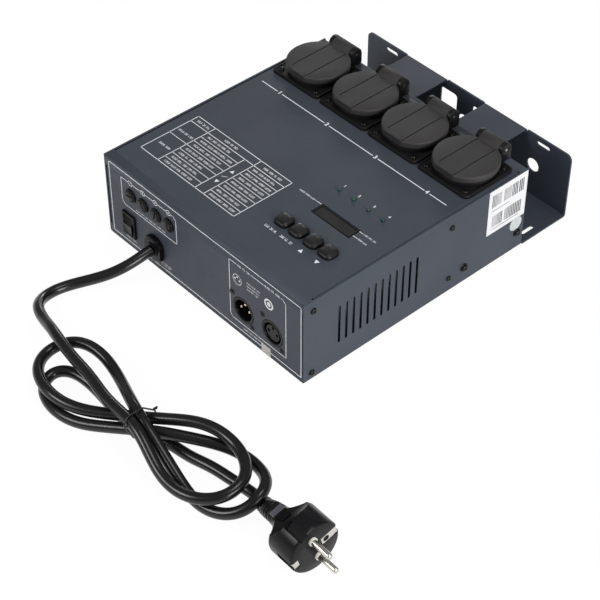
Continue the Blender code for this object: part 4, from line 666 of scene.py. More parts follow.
def math_node(tree, operation, first, second, clamp=False):
    """A Math node fed by sockets or numbers; its output."""
    node = tree.nodes.new("ShaderNodeMath")
    node.operation = operation
    node.use_clamp = clamp
    for socket, value in zip(node.inputs, (first, second)):
        if isinstance(value, bpy.types.NodeSocket):
            tree.links.new(value, socket)
        else:
            socket.default_value = value
    return node.outputs[0]


def noise(tree, vector, scale, detail=3.0):
    node = tree.nodes.new("ShaderNodeTexNoise")
    node.inputs["Detail"].default_value = detail
    tree.links.new(vector, node.inputs["Vector"])
    if isinstance(scale, bpy.types.NodeSocket):
        tree.links.new(scale, node.inputs["Scale"])
    else:
        node.inputs["Scale"].default_value = scale
    return node.outputs["Fac"]


def made_once(build):
    """Makes a node group's function give back the group that it made the first time."""
    def ask():
        return bpy.data.node_groups.get(build.__name__) or build(build.__name__)
    return ask


@made_once
def fine_grain(name):
    """Fine mould or powder grain with broad clouds: a tone and a height."""
    tree, given, put = node_group(
        name,
        (("Vector", "NodeSocketVector", None), ("Scale", "NodeSocketFloat", 900.0),
         ("Clouds", "NodeSocketFloat", 14.0), ("Contrast", "NodeSocketFloat", 1.6)),
        (("Tone", "NodeSocketFloat"), ("Height", "NodeSocketFloat")),
    )
    fine = noise(tree, given.outputs["Vector"], given.outputs["Scale"])
    broad = noise(tree, given.outputs["Vector"], given.outputs["Clouds"], 4.0)
    both = math_node(tree, "ADD", fine, broad)
    centred = math_node(tree, "SUBTRACT", both, 1.0)
    spread = math_node(tree, "MULTIPLY", centred, given.outputs["Contrast"])
    tone = math_node(tree, "ADD", spread, 0.5, clamp=True)
    tree.links.new(tone, put.inputs["Tone"])
    tree.links.new(fine, put.inputs["Height"])
    return tree


@made_once
def edge_wear(name):
    """Where corners are rubbed: a mask from the difference of a rounded normal."""
    tree, given, put = node_group(
        name,
        (("Vector", "NodeSocketVector", None), ("Radius", "NodeSocketFloat", 0.0005),
         ("Amount", "NodeSocketFloat", 1.0)),
        (("Mask", "NodeSocketFloat"),),
    )
    bevel = tree.nodes.new("ShaderNodeBevel")
    bevel.samples = 4
    tree.links.new(given.outputs["Radius"], bevel.inputs["Radius"])
    geometry = tree.nodes.new("ShaderNodeNewGeometry")
    dot = tree.nodes.new("ShaderNodeVectorMath")
    dot.operation = "DOT_PRODUCT"
    tree.links.new(bevel.outputs[0], dot.inputs[0])
    tree.links.new(geometry.outputs["Normal"], dot.inputs[1])
    away = math_node(tree, "SUBTRACT", 1.0, dot.outputs["Value"])
    strong = math_node(tree, "MULTIPLY", away, 4.0)
    broken = math_node(tree, "ADD", noise(tree, given.outputs["Vector"], 220.0), 0.35)
    patchy = math_node(tree, "MULTIPLY", strong, broken)
    mask = math_node(tree, "MULTIPLY", patchy, given.outputs["Amount"], clamp=True)
    tree.links.new(mask, put.inputs["Mask"])
    return tree


@made_once
def settled_dust(name):
    """Dust settled on what faces up, in soft patches."""
    tree, given, put = node_group(
        name,
        (("Vector", "NodeSocketVector", None), ("Amount", "NodeSocketFloat", 0.1)),
        (("Mask", "NodeSocketFloat"),),
    )
    geometry = tree.nodes.new("ShaderNodeNewGeometry")
    parts = tree.nodes.new("ShaderNodeSeparateXYZ")
    tree.links.new(geometry.outputs["Normal"], parts.inputs[0])
    patches = noise(tree, given.outputs["Vector"], 35.0, 6.0)
    specks = noise(tree, given.outputs["Vector"], 1400.0, 2.0)
    both = math_node(tree, "MULTIPLY", patches, specks)
    facing = math_node(tree, "MULTIPLY", both, parts.outputs["Z"], clamp=True)
    mask = math_node(tree, "MULTIPLY", facing, given.outputs["Amount"], clamp=True)
    tree.links.new(mask, put.inputs["Mask"])
    return tree


def placed_group(tree, group, vector, **values):
    """A node group in a material, with its own values."""
    node = tree.nodes.new("ShaderNodeGroup")
    node.node_tree = group
    tree.links.new(vector, node.inputs["Vector"])
    for label, value in values.items():
        node.inputs[label].default_value = value
    return node


def mixed(tree, mask, first, second):
    """Two colours mixed by a mask; the result."""
    node = tree.nodes.new("ShaderNodeMix")
    node.data_type = "RGBA"
    tree.links.new(mask, node.inputs[0])
    for socket, value in ((node.inputs[6], first), (node.inputs[7], second)):
        if isinstance(value, bpy.types.NodeSocket):
            tree.links.new(value, socket)
        else:
            socket.default_value = (*value[:3], 1.0)
    return node.outputs[2]


def ranged(tree, value, low, high):
    """A 0-1 value spread between two numbers."""
    node = tree.nodes.new("ShaderNodeMapRange")
    tree.links.new(value, node.inputs["Value"])
    node.inputs["To Min"].default_value = low
    node.inputs["To Max"].default_value = high
    return node.outputs["Result"]


def shaded(colour, factor):
    return tuple(min(1.0, channel * factor) for channel in colour[:3])


def surface(name, colour, roughness, metallic=0.0, scale=900.0, clouds=14.0, tone=0.12,
            depth=0.00002, spread=0.06, shine=0.5, worn=None, wear=1.0, radius=0.0005,
            dust=0.0, sockets=()):
    """A finish: its colour with grain, rubbed edges and dust, made once for each name."""
    found = bpy.data.materials.get(name)
    if found:
        return found
    made = bpy.data.materials.new(name)
    made.use_nodes = True
    tree = made.node_tree
    shader = tree.nodes["Principled BSDF"]
    place = tree.nodes.new("ShaderNodeTexCoord").outputs["Object"]
    grain = placed_group(tree, fine_grain(), place, Scale=scale, Clouds=clouds)
    shade = mixed(tree, grain.outputs["Tone"], shaded(colour, 1 - tone), shaded(colour, 1 + tone))
    if worn:
        rubbed = placed_group(tree, edge_wear(), place, Radius=radius, Amount=wear)
        shade = mixed(tree, rubbed.outputs["Mask"], shade, worn)
    if dust:
        settled = placed_group(tree, settled_dust(), place, Amount=dust)
        shade = mixed(tree, settled.outputs["Mask"], shade, (0.45, 0.44, 0.42))
    tree.links.new(shade, shader.inputs["Base Color"])
    rough = ranged(tree, grain.outputs["Tone"], roughness + spread, roughness - spread)
    tree.links.new(rough, shader.inputs["Roughness"])
    shader.inputs["Metallic"].default_value = metallic
    for label, value in (("Specular IOR Level", shine), *sockets):
        shader.inputs[label].default_value = value
    if depth:
        bump = tree.nodes.new("ShaderNodeBump")
        bump.inputs["Strength"].default_value = 1.0
        bump.inputs["Distance"].default_value = depth
        tree.links.new(grain.outputs["Height"], bump.inputs["Height"])
        tree.links.new(bump.outputs["Normal"], shader.inputs["Normal"])
    return made


def colours():
    return bpy.context.scene.dimmer_pack_colours


def sizes():
    return bpy.context.scene.dimmer_pack_sizes


def powder_coat():
    """Fine-textured dark blue-grey powder coat on steel."""
    coat = colours().coat
    return surface("powder_coat", coat, 0.46, scale=1500, clouds=9, tone=0.14,
                   depth=0.000035, spread=0.08, worn=shaded(coat, 2.1), wear=0.8,
                   radius=0.0006, dust=0.06, shine=0.18)


def cut_edge():
    """Painted shade: the vents' cut walls in the coat colour at a fifth of its brightness, for
    the shade inside the slits.
    """
    return surface("cut_edge", shaded(colours().coat, 0.2), 0.6, scale=1500, tone=0.2,
                   shine=0.2)


def lid_plastic():
    """Matt spark-eroded black plastic of the socket lids."""
    colour = colours().lid
    return surface("lid_plastic", colour, 0.60, scale=1900, clouds=30, tone=0.10,
                   depth=0.00003, worn=shaded(colour, 2.2), wear=0.7, dust=0.08)


def flange_plastic():
    """Slightly glossy black plastic of the socket housings."""
    colour = colours().plastic
    return surface("flange_plastic", colour, 0.38, scale=1300, clouds=40, tone=0.16,
                   depth=0.00001, worn=shaded(colour, 3), wear=0.4, radius=0.0002, dust=0.03,
                   shine=0.18)


def gloss_plastic():
    """Polished black moulding: gland, switch, fuse holders, connectors."""
    colour = colours().plastic
    return surface("gloss_plastic", shaded(colour, 0.7), 0.20, scale=700, clouds=60, tone=0.15,
                   depth=0.000003, spread=0.05, shine=0.10)


def button_plastic():
    """Satin black of the push buttons, polished by fingers on top."""
    colour = colours().plastic
    return surface("button_plastic", shaded(colour, 0.9), 0.40, scale=1100, clouds=120,
                   tone=0.2, depth=0.000006, spread=0.08, shine=0.4)


def cord_rubber():
    """Glossy black PVC of the cord's sheath."""
    colour = colours().cord
    return surface("cord_rubber", colour, 0.25, scale=300, clouds=70, tone=0.15,
                   depth=0.000001, spread=0.03, shine=0.45)


def plug_rubber():
    """Satin black PVC of the plug and its boot."""
    colour = colours().cord
    return surface("plug_rubber", colour, 0.30, scale=1200, clouds=60, tone=0.2,
                   depth=0.000004, worn=shaded(colour, 5), wear=0.5,
                   shine=0.18)


def pad_plastic():
    """Flats where fingers hold the plug: glossy, their light grey a painted reflection of a lamp
    on the black moulding.
    """
    return surface("pad_plastic", (0.10, 0.10, 0.12), 0.28, scale=1500, clouds=120, tone=0.2,
                   depth=0.000004)


def tie_plastic():
    return surface("tie_plastic", shaded(colours().cord, 1.3), 0.45, scale=1500, tone=0.2)


def bright_nickel():
    """Nickel on brass: plug pins and earth strap."""
    return surface("bright_nickel", colours().nickel, 0.24, 1.0, scale=2500, clouds=90,
                   tone=0.08, depth=0.000004, spread=0.09)


def spring_wire():
    return surface("spring_wire", (0.45, 0.45, 0.46), 0.30, 1.0, scale=2600, tone=0.1,
                   depth=0.000004, spread=0.1)


def gold_contact():
    return surface("gold_contact", (0.78, 0.62, 0.38), 0.20, 1.0, scale=2400, tone=0.1,
                   depth=0.000003)


def black_zinc():
    """Blackened screws, brighter where a driver has touched them."""
    return surface("black_zinc", (0.006, 0.006, 0.007), 0.25, scale=2100, clouds=200,
                   tone=0.25, depth=0.000004, spread=0.08, worn=(0.05, 0.05, 0.055),
                   wear=0.7, radius=0.00015, shine=0.3)


def print_ink():
    """White screen print, its ink thin in places."""
    return surface("print_ink", colours().print, 0.55, scale=2600, clouds=120, tone=0.07,
                   depth=0.000006)


def dark_acrylic():
    return surface("display_acrylic", (0.012, 0.012, 0.014), 0.14, scale=900, clouds=30,
                   tone=0.2, depth=0.000002, spread=0.04, dust=0.12)


def green_lens():
    return surface("lamp_green", colours().lens, 0.12, scale=700, clouds=300, tone=0.25,
                   depth=0.000004, sockets=(("Coat Weight", 0.5), ("IOR", 1.5)))


def label_paper():
    return surface("label_paper", (0.80, 0.80, 0.82), 0.45, scale=1800, clouds=50, tone=0.05,
                   depth=0.00001)


def label_ink():
    return surface("label_ink", (0.07, 0.07, 0.08), 0.5, scale=1500, clouds=90, tone=0.3,
                   depth=0.0)


def foil():
    """Silver foil of the round sticker, with a cellular print."""
    return surface("foil", (0.62, 0.66, 0.66), 0.28, 0.55, scale=900, clouds=420, tone=0.22,
                   depth=0.00001, spread=0.14)


def seal_paper():
    return surface("seal_paper", (0.52, 0.49, 0.46), 0.42, scale=1200, clouds=180, tone=0.16,
                   depth=0.00001, spread=0.08)


def cream_nylon():
    return surface("cream_nylon", (0.80, 0.78, 0.70), 0.42, scale=1300, clouds=80, tone=0.1,
                   depth=0.000006)


def mill_aluminium():
    return surface("mill_aluminium", (0.52, 0.53, 0.54), 0.38, 0.9, scale=1700, clouds=60,
                   tone=0.12, depth=0.00001, spread=0.1, dust=0.1)


def banded(name, axis, bands, base, roughness, scale=1400):
    """A finish whose colour changes with height or depth: (from, colour) along one axis."""
    made = surface(name, base, roughness, scale=scale, tone=0.2, depth=0.00001)
    tree = made.node_tree
    shader = tree.nodes["Principled BSDF"]
    place = tree.nodes.new("ShaderNodeTexCoord").outputs["Object"]
    parts = tree.nodes.new("ShaderNodeSeparateXYZ")
    tree.links.new(place, parts.inputs[0])
    shade = shader.inputs["Base Color"].links[0].from_socket
    for start, colour in bands:
        mask = math_node(tree, "GREATER_THAN", parts.outputs[axis], start)
        shade = mixed(tree, mask, shade, colour)
    tree.links.new(shade, shader.inputs["Base Color"])
    return made


# ---- cord


def resampled(points, count=None, step=None):
    """Points an even step apart along a line of points."""
    points = np.asarray(points, float)
    reach = np.concatenate([[0], np.cumsum(np.linalg.norm(np.diff(points, axis=0), axis=1))])
    count = count or int(reach[-1] / step) + 1
    at = np.linspace(0, reach[-1], count)
    return np.stack([np.interp(at, reach, points[:, axis]) for axis in range(3)], 1)


def softened(points, passes):
    """A smooth curve from a line of even points, with its ends kept."""
    points = points.copy()
    for _ in range(passes):
        points[1:-1] = (points[:-2] + 2 * points[1:-1] + points[2:]) / 4
    return points


def lobe_points(before, after, lobe, side):
    """One lobe of the bundle: an oval arc from one waist point round to the next."""
    x, y, long, wide, tilt, heights = lobe
    lean = Matrix.Rotation(math.radians(tilt), 2)
    back = lean.transposed()

    def tangent(point, sign):
        flat = back @ Vector((point[0] - x, point[1] - y))
        flat = Vector((flat.x / long, flat.y / wide))
        return math.atan2(flat.y, flat.x) + sign * math.acos(1 / flat.length)

    first = tangent(before, side)
    last = tangent(after, -side)
    while (last - first) * side < 0:
        last += side * 2 * math.pi
    points = []
    for i in range(LOBE_POINTS):
        share = i / (LOBE_POINTS - 1)
        angle = first + (last - first) * share
        height = float(np.interp(share, np.linspace(0, 1, len(heights)), heights))
        spot = lean @ Vector((long * math.cos(angle), wide * math.sin(angle)))
        points.append((x + spot.x, y + spot.y, height))
    return points


def cord_move():
    """How far the cord goes with the gland that it leaves."""
    return Vector((GLAND_X - CORD_EXIT[0], FRONT - GLAND_REACH - CORD_EXIT[1], 0))


def cord_route():
    """The whole cord's centre line: lead, two figure-of-eight turns, the run to the plug."""
    points = list(LEAD_ROUTE)
    for number, lobe in enumerate(LOBES):
        side = 1 if number % 2 == 0 else -1
        points.append(WAIST[number])
        points += lobe_points(WAIST[number], WAIST[number + 1], lobe, side)
    points.append(WAIST[-1])
    points += TAIL_ROUTE
    points.append(BOOT_START)
    coarse = softened(resampled(points, CORD_POINTS), CORD_SOFTENING) + np.array(cord_move())
    finer = CORD_FINER * (CORD_POINTS - 1) + 1
    return softened(resampled(coarse, finer), CORD_FINER ** 2)


def plug_turn():
    """Turns a shape made along Z so that its +Z is the way the pins point."""
    yaw = Matrix.Rotation(math.radians(PLUG_YAW), 3, "Z")
    pitch = Matrix.Rotation(math.radians(PLUG_PITCH), 3, "Y")
    roll = Matrix.Rotation(math.radians(PLUG_ROLL), 3, "X")
    lay = Matrix.Rotation(math.pi / 2, 3, "Y")
    return yaw @ pitch @ roll @ lay


def plug_matrix():
    """From the plug's own axes to its place."""
    return Matrix.Translation(Vector(PLUG_FACE) + cord_move()) @ plug_turn().to_4x4()


def build_cord():
    """The sheath from the gland to the boot, and the wire tie; the boot and plug follow."""
    route = cord_route()
    start = Vector(route[0]) + Vector((0, -SEAT, 0))
    route[0] = start
    radius = sizes().cord_diameter / 2
    sheath = tube("cord_sheath", route, radius, 8)
    settle(sheath, cord_rubber(), "cord_lead", "cord_bundle", slot="black_rubber")
    tie = build_tie(route)
    length = float(np.linalg.norm(np.diff(route, axis=0), axis=1).sum())
    return sheath, tie, tuple(start), length


def build_tie(route):
    """A wire drawn round all the strands at the waist, its ends twisted and cut short."""
    normal = np.array((math.cos(TIE_TURN), math.sin(TIE_TURN), 0))
    across = np.array((-math.sin(TIE_TURN), math.cos(TIE_TURN), 0))
    centre = np.array((*TIE_AT, 0)) + np.array(cord_move())
    bundle = [point for point in route if point[1] < BUNDLE_STARTS_Y]
    wire = sizes().tie_wire
    skin = []
    dense = resampled(bundle, step=CORD / 9)
    for before, point, after in zip(dense, dense[1:], dense[2:]):
        if abs((point - centre) @ normal) > CORD:
            continue
        heading = (after - before) / np.linalg.norm(after - before)
        flat = np.cross(heading, (0, 0, 1))
        flat /= np.linalg.norm(flat)
        lift = np.cross(flat, heading)
        for k in range(SKIN_SIDES):
            angle = 2 * math.pi * k / SKIN_SIDES
            spot = point + CORD / 2 * (flat * math.cos(angle) + lift * math.sin(angle))
            if abs((spot - centre) @ normal) < TIE_PITCH:
                skin.append(((spot - centre) @ across, spot[2]))
    skin = np.array(skin)
    points = []
    for i in range(TIE_POINTS + 1):
        angle = TIE_START + 2 * math.pi * i / TIE_POINTS
        facing = np.array((math.cos(angle), math.sin(angle)))
        u, z = skin[(skin @ facing).argmax()] + facing * (wire + SEAT)
        along = TIE_PITCH * (i / TIE_POINTS - 0.5)
        points.append(centre + across * u + normal * along + np.array((0, 0, z)))
    knot = (points[0] + points[-1]) / 2
    outward = across * 0.55 + normal * 0.60 + np.array((0, 0, 0.58))
    upward = np.cross(outward, normal)
    upward /= np.linalg.norm(upward)
    sideways = np.cross(upward, outward)
    tails = []
    for lean in (0, math.pi):
        twist = []
        for i in range(TWIST_STEPS + 1):
            share = i / TWIST_STEPS
            angle = lean + 2 * math.pi * TWIST_TURNS * share
            ring = upward * math.sin(angle) + sideways * math.cos(angle)
            twist.append(knot + outward * (wire + TIE_TAIL * 0.5 * share) + ring * wire * 1.1)
        tails.append(twist)
    kept = tails[0][::-1]
    for point in (*points[1:-1], *tails[1]):
        if np.linalg.norm(point - kept[-1]) > wire:
            kept.append(point)
    line = softened(resampled(kept, 4 * len(kept)), 3)
    line[:, 2] = np.maximum(line[:, 2], wire)
    tie = as_mesh(tube("wire_tie", line, wire, 3))
    smooth(tie, 60)
    return settle(tie, tie_plastic(), "cord_tie", slot="tie_wire")


# ---- plug


def plug_drum():
    """The plug's moulding: face, drum, ridged waist and the flare down to the neck."""
    back = -PLUG_DRUM
    neck = back - PLUG_FLARE
    run = PLUG - 0.0022 - PLUG_NECK
    flare = []
    steps = 14
    for i in range(steps, 0, -1):
        share = i / steps
        radius = PLUG_NECK + run * (1 - math.sin(share * math.pi / 2)) ** 1.2
        flare.append((radius, back - 0.0006 - (PLUG_FLARE - 0.0006) * share))
    profile = [(PLUG_NECK * 0.6, neck), *flare]
    profile += [(PLUG - 0.0022, back - 0.0006), (PLUG - 0.0010, back - 0.0002)]
    profile += [(PLUG - 0.0003, back + 0.0006), (PLUG, back + 0.0016), (PLUG, -0.0018)]
    profile += [(PLUG - 0.0002, -0.0010), (PLUG - 0.0007, -0.0004), (PLUG - 0.0015, 0.0)]
    profile += [(PLUG * 0.5, 0.0)]
    return lathe("plug_moulding", profile, 88)


def plug_cuts(body):
    """Pin bores, guide grooves, grip scoops with their ridges, and the strap's channels."""
    over = PLUG + SHEET
    for side in (-1, 1):
        x = side * CONTACT_X
        combine(body, rod("bore", PLUG_PIN + SEAT, (x, 0, -PLUG_PIN_ROOM), (x, 0, SHEET)))
        x = span(side, PLUG - PLUG_GUIDE_DEEP, over)
        guide = box("guide", (x[0], -PLUG_GUIDE_HALF, -PLUG_GUIDE_LONG),
                    (x[1], PLUG_GUIDE_HALF, SHEET))
        move(guide, turned(GUIDE_TURN))
        combine(body, guide)
        x = side * (PLUG_NECK + SCOOP)
        combine(body, rod("scoop", SCOOP, (x, -over, SCOOP_Z), (x, over, SCOOP_Z), 96))
        for i in range(RIDGES):
            z = RIDGE_Z + RIDGE_PITCH * i
            high = PLUG_NECK + SCOOP - math.sqrt(SCOOP ** 2 - (z - SCOOP_Z) ** 2)
            x = span(side, high - 0.002, high + RIDGE_RISE)
            half = (RIDGE_PITCH * 0.28, GRIP_HALF - 0.0004 * i)
            ridge = box("ridge", (x[0], -half[1], z - half[0]), (x[1], half[1], z + half[0]))
            combine(body, ridge, "UNION")
    wide = STRAP_WIDTH / 2 + SEAT
    for side in (-1, 1):
        y = span(side, STRAP_HALF - STRAP_THICK - SEAT, over)
        low = (-wide, y[0], -STRAP_ARM - SEAT)
        combine(body, box("arm_room", low, (wide, y[1], SHEET)))
    sunk = -STRAP_THICK - SEAT
    low = (-wide, STRAP_ENDS[0] - SEAT, sunk)
    combine(body, box("face_room", low, (wide, over, SHEET)))
    high = (wide, STRAP_ENDS[1] + SEAT, SHEET)
    combine(body, box("foot_room", (-wide, -over, sunk), high))


def build_boot():
    """The ribbed strain relief: a tapering tube from the cord up to the plug's neck."""
    place = plug_matrix()
    axis = place.to_3x3() @ Vector((0, 0, 1))
    face = place.translation
    neck = face - axis * (PLUG_DRUM + PLUG_FLARE)
    ends = [Vector(BOOT_START) + cord_move(), neck + axis * 0.002]
    away = (ends[1] - ends[0]).length / 3
    route = cord_route()
    lead_in = Vector(route[-1] - route[-3]).normalized()
    handles = [ends[0] + lead_in * away, ends[1] - axis * away]
    points, radii = [], []
    count = BOOT_STEPS * BOOT_RIBS + 1
    for i in range(count):
        share = i / (count - 1)
        keep = 1 - share
        points.append(keep ** 3 * ends[0] + 3 * keep ** 2 * share * handles[0]
                      + 3 * keep * share ** 2 * handles[1] + share ** 3 * ends[1])
        width = BOOT_END + (PLUG_NECK - BOOT_END) * share
        groove = (i % BOOT_STEPS) / BOOT_STEPS
        sunk = BOOT_RIB if 0.55 < groove < 0.95 else (BOOT_RIB * 0.3 if groove >= 0.45 else 0)
        radii.append((width - sunk) / PLUG_NECK)
    boot = as_mesh(tube("plug_boot", points, PLUG_NECK, 8, radii))
    smooth(boot, 40)
    return settle(boot, plug_rubber(), slot="black_rubber")


def build_strap():
    """The earth strap: two arms, the bridge inside the plug, and the ends on its face."""
    half, thick, reach = STRAP_WIDTH / 2, STRAP_THICK, STRAP_HALF
    strap = box("earth_strap", (-half, reach - thick, -STRAP_ARM), (half, reach, -SEAT))
    blocks = (
        ((-half, -reach, -STRAP_ARM), (half, thick - reach, -SEAT)),
        ((-half / 2, -reach + thick / 2, STRAP_BRIDGE - thick / 2),
         (half / 2, reach - thick / 2, STRAP_BRIDGE + thick / 2)),
        ((-half, STRAP_ENDS[0], -SEAT - thick), (half, reach - thick / 2, -SEAT)),
        ((-half, thick / 2 - reach, -SEAT - thick), (half, STRAP_ENDS[1], -SEAT)),
    )
    for low, high in blocks:
        combine(strap, box("strap_block", low, high), "UNION")
    combine(strap, rod("hole", 0.0025, (0, 0.0100, -0.003), (0, 0.0100, 0.002), 40))
    ease(strap, 0.0002)
    smooth(strap)
    return strap


def build_plug():
    """Moulding, boot, grip pads, two pins with their collars, and the earth strap."""
    place = plug_matrix()
    body = plug_drum()
    plug_cuts(body)
    smooth(body, 30)
    move(body, place)
    settle(body, plug_rubber(), "plug_body", slot="black_rubber")
    pieces = [body, build_boot()]
    # Grip pads on both sides, lighter grey than the rubber as a painted reflection.
    for number, side in enumerate((-1, 1), 1):
        x = span(side, PLUG_NECK - 0.002, PLUG_NECK + 0.0004)
        pad = box(f"plug_grip_pad_{number}", (x[0], -GRIP_HALF, PAD_SPAN[0]),
                  (x[1], GRIP_HALF, PAD_SPAN[1]))
        ease(pad, 0.0003)
        smooth(pad)
        move(pad, place)
        pieces.append(settle(pad, pad_plastic(), slot="black_rubber"))

    tip = PLUG_PIN_LENGTH
    pin = lathe("pin", [
        (PLUG_PIN, -0.0100), (PLUG_PIN, tip - 0.0018), (PLUG_PIN * 0.93, tip - 0.0008),
        (PLUG_PIN * 0.75, tip - 0.0002), (PLUG_PIN * 0.45, tip),
    ], 40)
    smooth(pin, 40)
    collar = lathe("collar", [
        (PLUG_COLLAR, -0.0004), (PLUG_COLLAR, 0.0012), (PLUG_COLLAR - 0.0002, 0.0016),
        (0.00275, 0.0016), (0.00262, 0.0010),
    ], 40)
    smooth(collar)
    for number, side in enumerate((-1, 1), 1):
        spot = place @ shift(side * CONTACT_X, 0)
        made = copy(pin, f"plug_contact_{number}", spot)
        pieces.append(settle(made, bright_nickel(), f"plug_pin_{number}", slot="nickel"))
        made = copy(collar, f"plug_contact_collar_{number}", spot)
        pieces.append(settle(made, cream_nylon(), slot="black_rubber"))
    drop(pin, collar)

    strap = build_strap()
    move(strap, place)
    pieces.append(settle(strap, bright_nickel(), "plug_earth_strap", slot="nickel"))
    return pieces


# ---- case


def dressed_copy(node, name, edge):
    """A CAD node's copy: merged, its flat faces made whole, its sharp edges eased."""
    piece = copy(frame["nodes"][node], name)
    piece.matrix_world = Matrix()
    open_mesh(piece)
    bpy.ops.mesh.remove_doubles(threshold=0.000005)
    bpy.ops.mesh.dissolve_limited(angle_limit=math.radians(0.5))
    bpy.ops.mesh.normals_make_consistent(inside=False)
    bpy.ops.object.mode_set(mode="OBJECT")
    if edge:
        ease(piece, edge)
    smooth(piece, 38)
    weigh(piece)
    return piece


def build_case():
    """Base pan with its bracket, and the top cover: folded sheet with powder coat."""
    edge = sizes().sheet_edge
    pan = dressed_copy("base_pan", "case_pan", edge)
    settle(pan, powder_coat(), "base_pan", slot="coated_steel")
    # The vents' cut walls take a second material, painted shade for the slits' insides.
    pan.data.materials.append(cut_edge())
    for face in pan.data.polygons:
        inside = RIGHT - SHEET + 0.0001 < abs(face.center.x) < RIGHT - 0.0001
        if inside and abs(face.normal.x) < 0.3 and VENT_LOW < face.center.z < VENT_HIGH:
            if VENT_FRONT < face.center.y < VENT_REAR:
                face.material_index = 1
    cover = dressed_copy("top_cover", "case_cover", edge / 2)
    inner = RIGHT - SHEET
    for corner in cover.data.vertices:
        if abs(abs(corner.co.x) - (inner - SEAT)) < 0.0001:
            corner.co.x = math.copysign(inner + 0.0001, corner.co.x)
    settle(cover, powder_coat(), "top_cover", slot="coated_steel")


# ---- sockets


def socket_housing():
    """Flange with a raised rim, round body, collar with its well, hinge ears."""
    top = SEAT + FLANGE_THICK
    half = (FLANGE_HALF, (FLANGE_BACK - FLANGE_FRONT) / 2)
    levels = [(0, SEAT), (0, top - 0.0008), (0.0002, top - 0.0003), (0.0007, top)]
    levels += [(FLANGE_RIM - 0.0003, top), (FLANGE_RIM + 0.0003, top - 0.0006)]
    housing = slab("socket_housing", half, FLANGE_CORNER, levels)
    move(housing, shift(0, (FLANGE_BACK + FLANGE_FRONT) / 2))
    tongue = box("tongue", (-EAR_HALF, FLANGE_BACK - FLANGE_CORNER, SEAT),
                 (EAR_HALF, HINGE_BACK + BARREL, top))
    ease(tongue, 0.0005)
    combine(housing, tongue, "UNION")
    middle = (WELL + COLLAR) / 2
    combine(housing, rod("eye", middle, (0, 0, -SHEET), (0, 0, COLLAR_TOP), 72))
    core = lathe("core", [
        (SOCKET_BODY, -SOCKET_BODY_DEPTH), (SOCKET_BODY, SEAT + FLANGE_THICK / 2),
        (COLLAR, SEAT + FLANGE_THICK / 2), (COLLAR, COLLAR_TOP - 0.0009),
        (COLLAR - 0.0003, COLLAR_TOP - 0.0003), (COLLAR - 0.0009, COLLAR_TOP),
        (WELL + 0.0009, COLLAR_TOP), (WELL + 0.0003, COLLAR_TOP - 0.0003),
        (WELL, COLLAR_TOP - 0.0009), (WELL, WELL_FLOOR), (WELL * 0.7, WELL_FLOOR),
    ], 72)
    combine(housing, core, "UNION")
    for side in (-1, 1):
        near = side * (HOOD_HALF + SEAT)
        ear = lathe("ear", [
            (BARREL, 0.0), (BARREL, EAR_THICK - 0.0006), (BARREL - 0.0002, EAR_THICK - 0.0002),
            (BARREL - 0.0006, EAR_THICK), (BARREL - 0.0015, EAR_THICK),
            (BARREL - 0.0018, EAR_THICK - 0.0004), (PIN * 1.6, EAR_THICK - 0.0004),
        ], 40)
        move(ear, shift(near, HINGE_BACK, HINGE_HEIGHT) @ turned(side * 90, "Y"))
        combine(housing, ear, "UNION")
        x = span(side, HOOD_HALF + SEAT, EAR_HALF)
        post = box("post", (x[0], HINGE_BACK - BARREL, SEAT + FLANGE_THICK / 2),
                   (x[1], HINGE_BACK + BARREL, HINGE_HEIGHT))
        ease(post, 0.0003)
        combine(housing, post, "UNION")
        x = span(side, WELL - GUIDE_REACH, WELL + GUIDE_REACH / 2)
        low = (x[0], -GUIDE_WIDTH / 2, WELL_FLOOR - SHEET / 2)
        rib = box("guide", low, (x[1], GUIDE_WIDTH / 2, COLLAR_TOP - 0.0030))
        ease(rib, 0.0003)
        combine(housing, rib, "UNION")
        x = side * CONTACT_X
        low = (x, 0, WELL_FLOOR - CONTACT_DEPTH)
        combine(housing, rod("hole", CONTACT_HOLE, low, (x, 0, WELL_FLOOR + SHEET)))
    reach = EAR_HALF + SHEET
    place = (HINGE_BACK, HINGE_HEIGHT)
    combine(housing, rod("pin_bore", PIN + SEAT, (-reach, *place), (reach, *place), 24))
    smooth(housing, 30)
    return housing


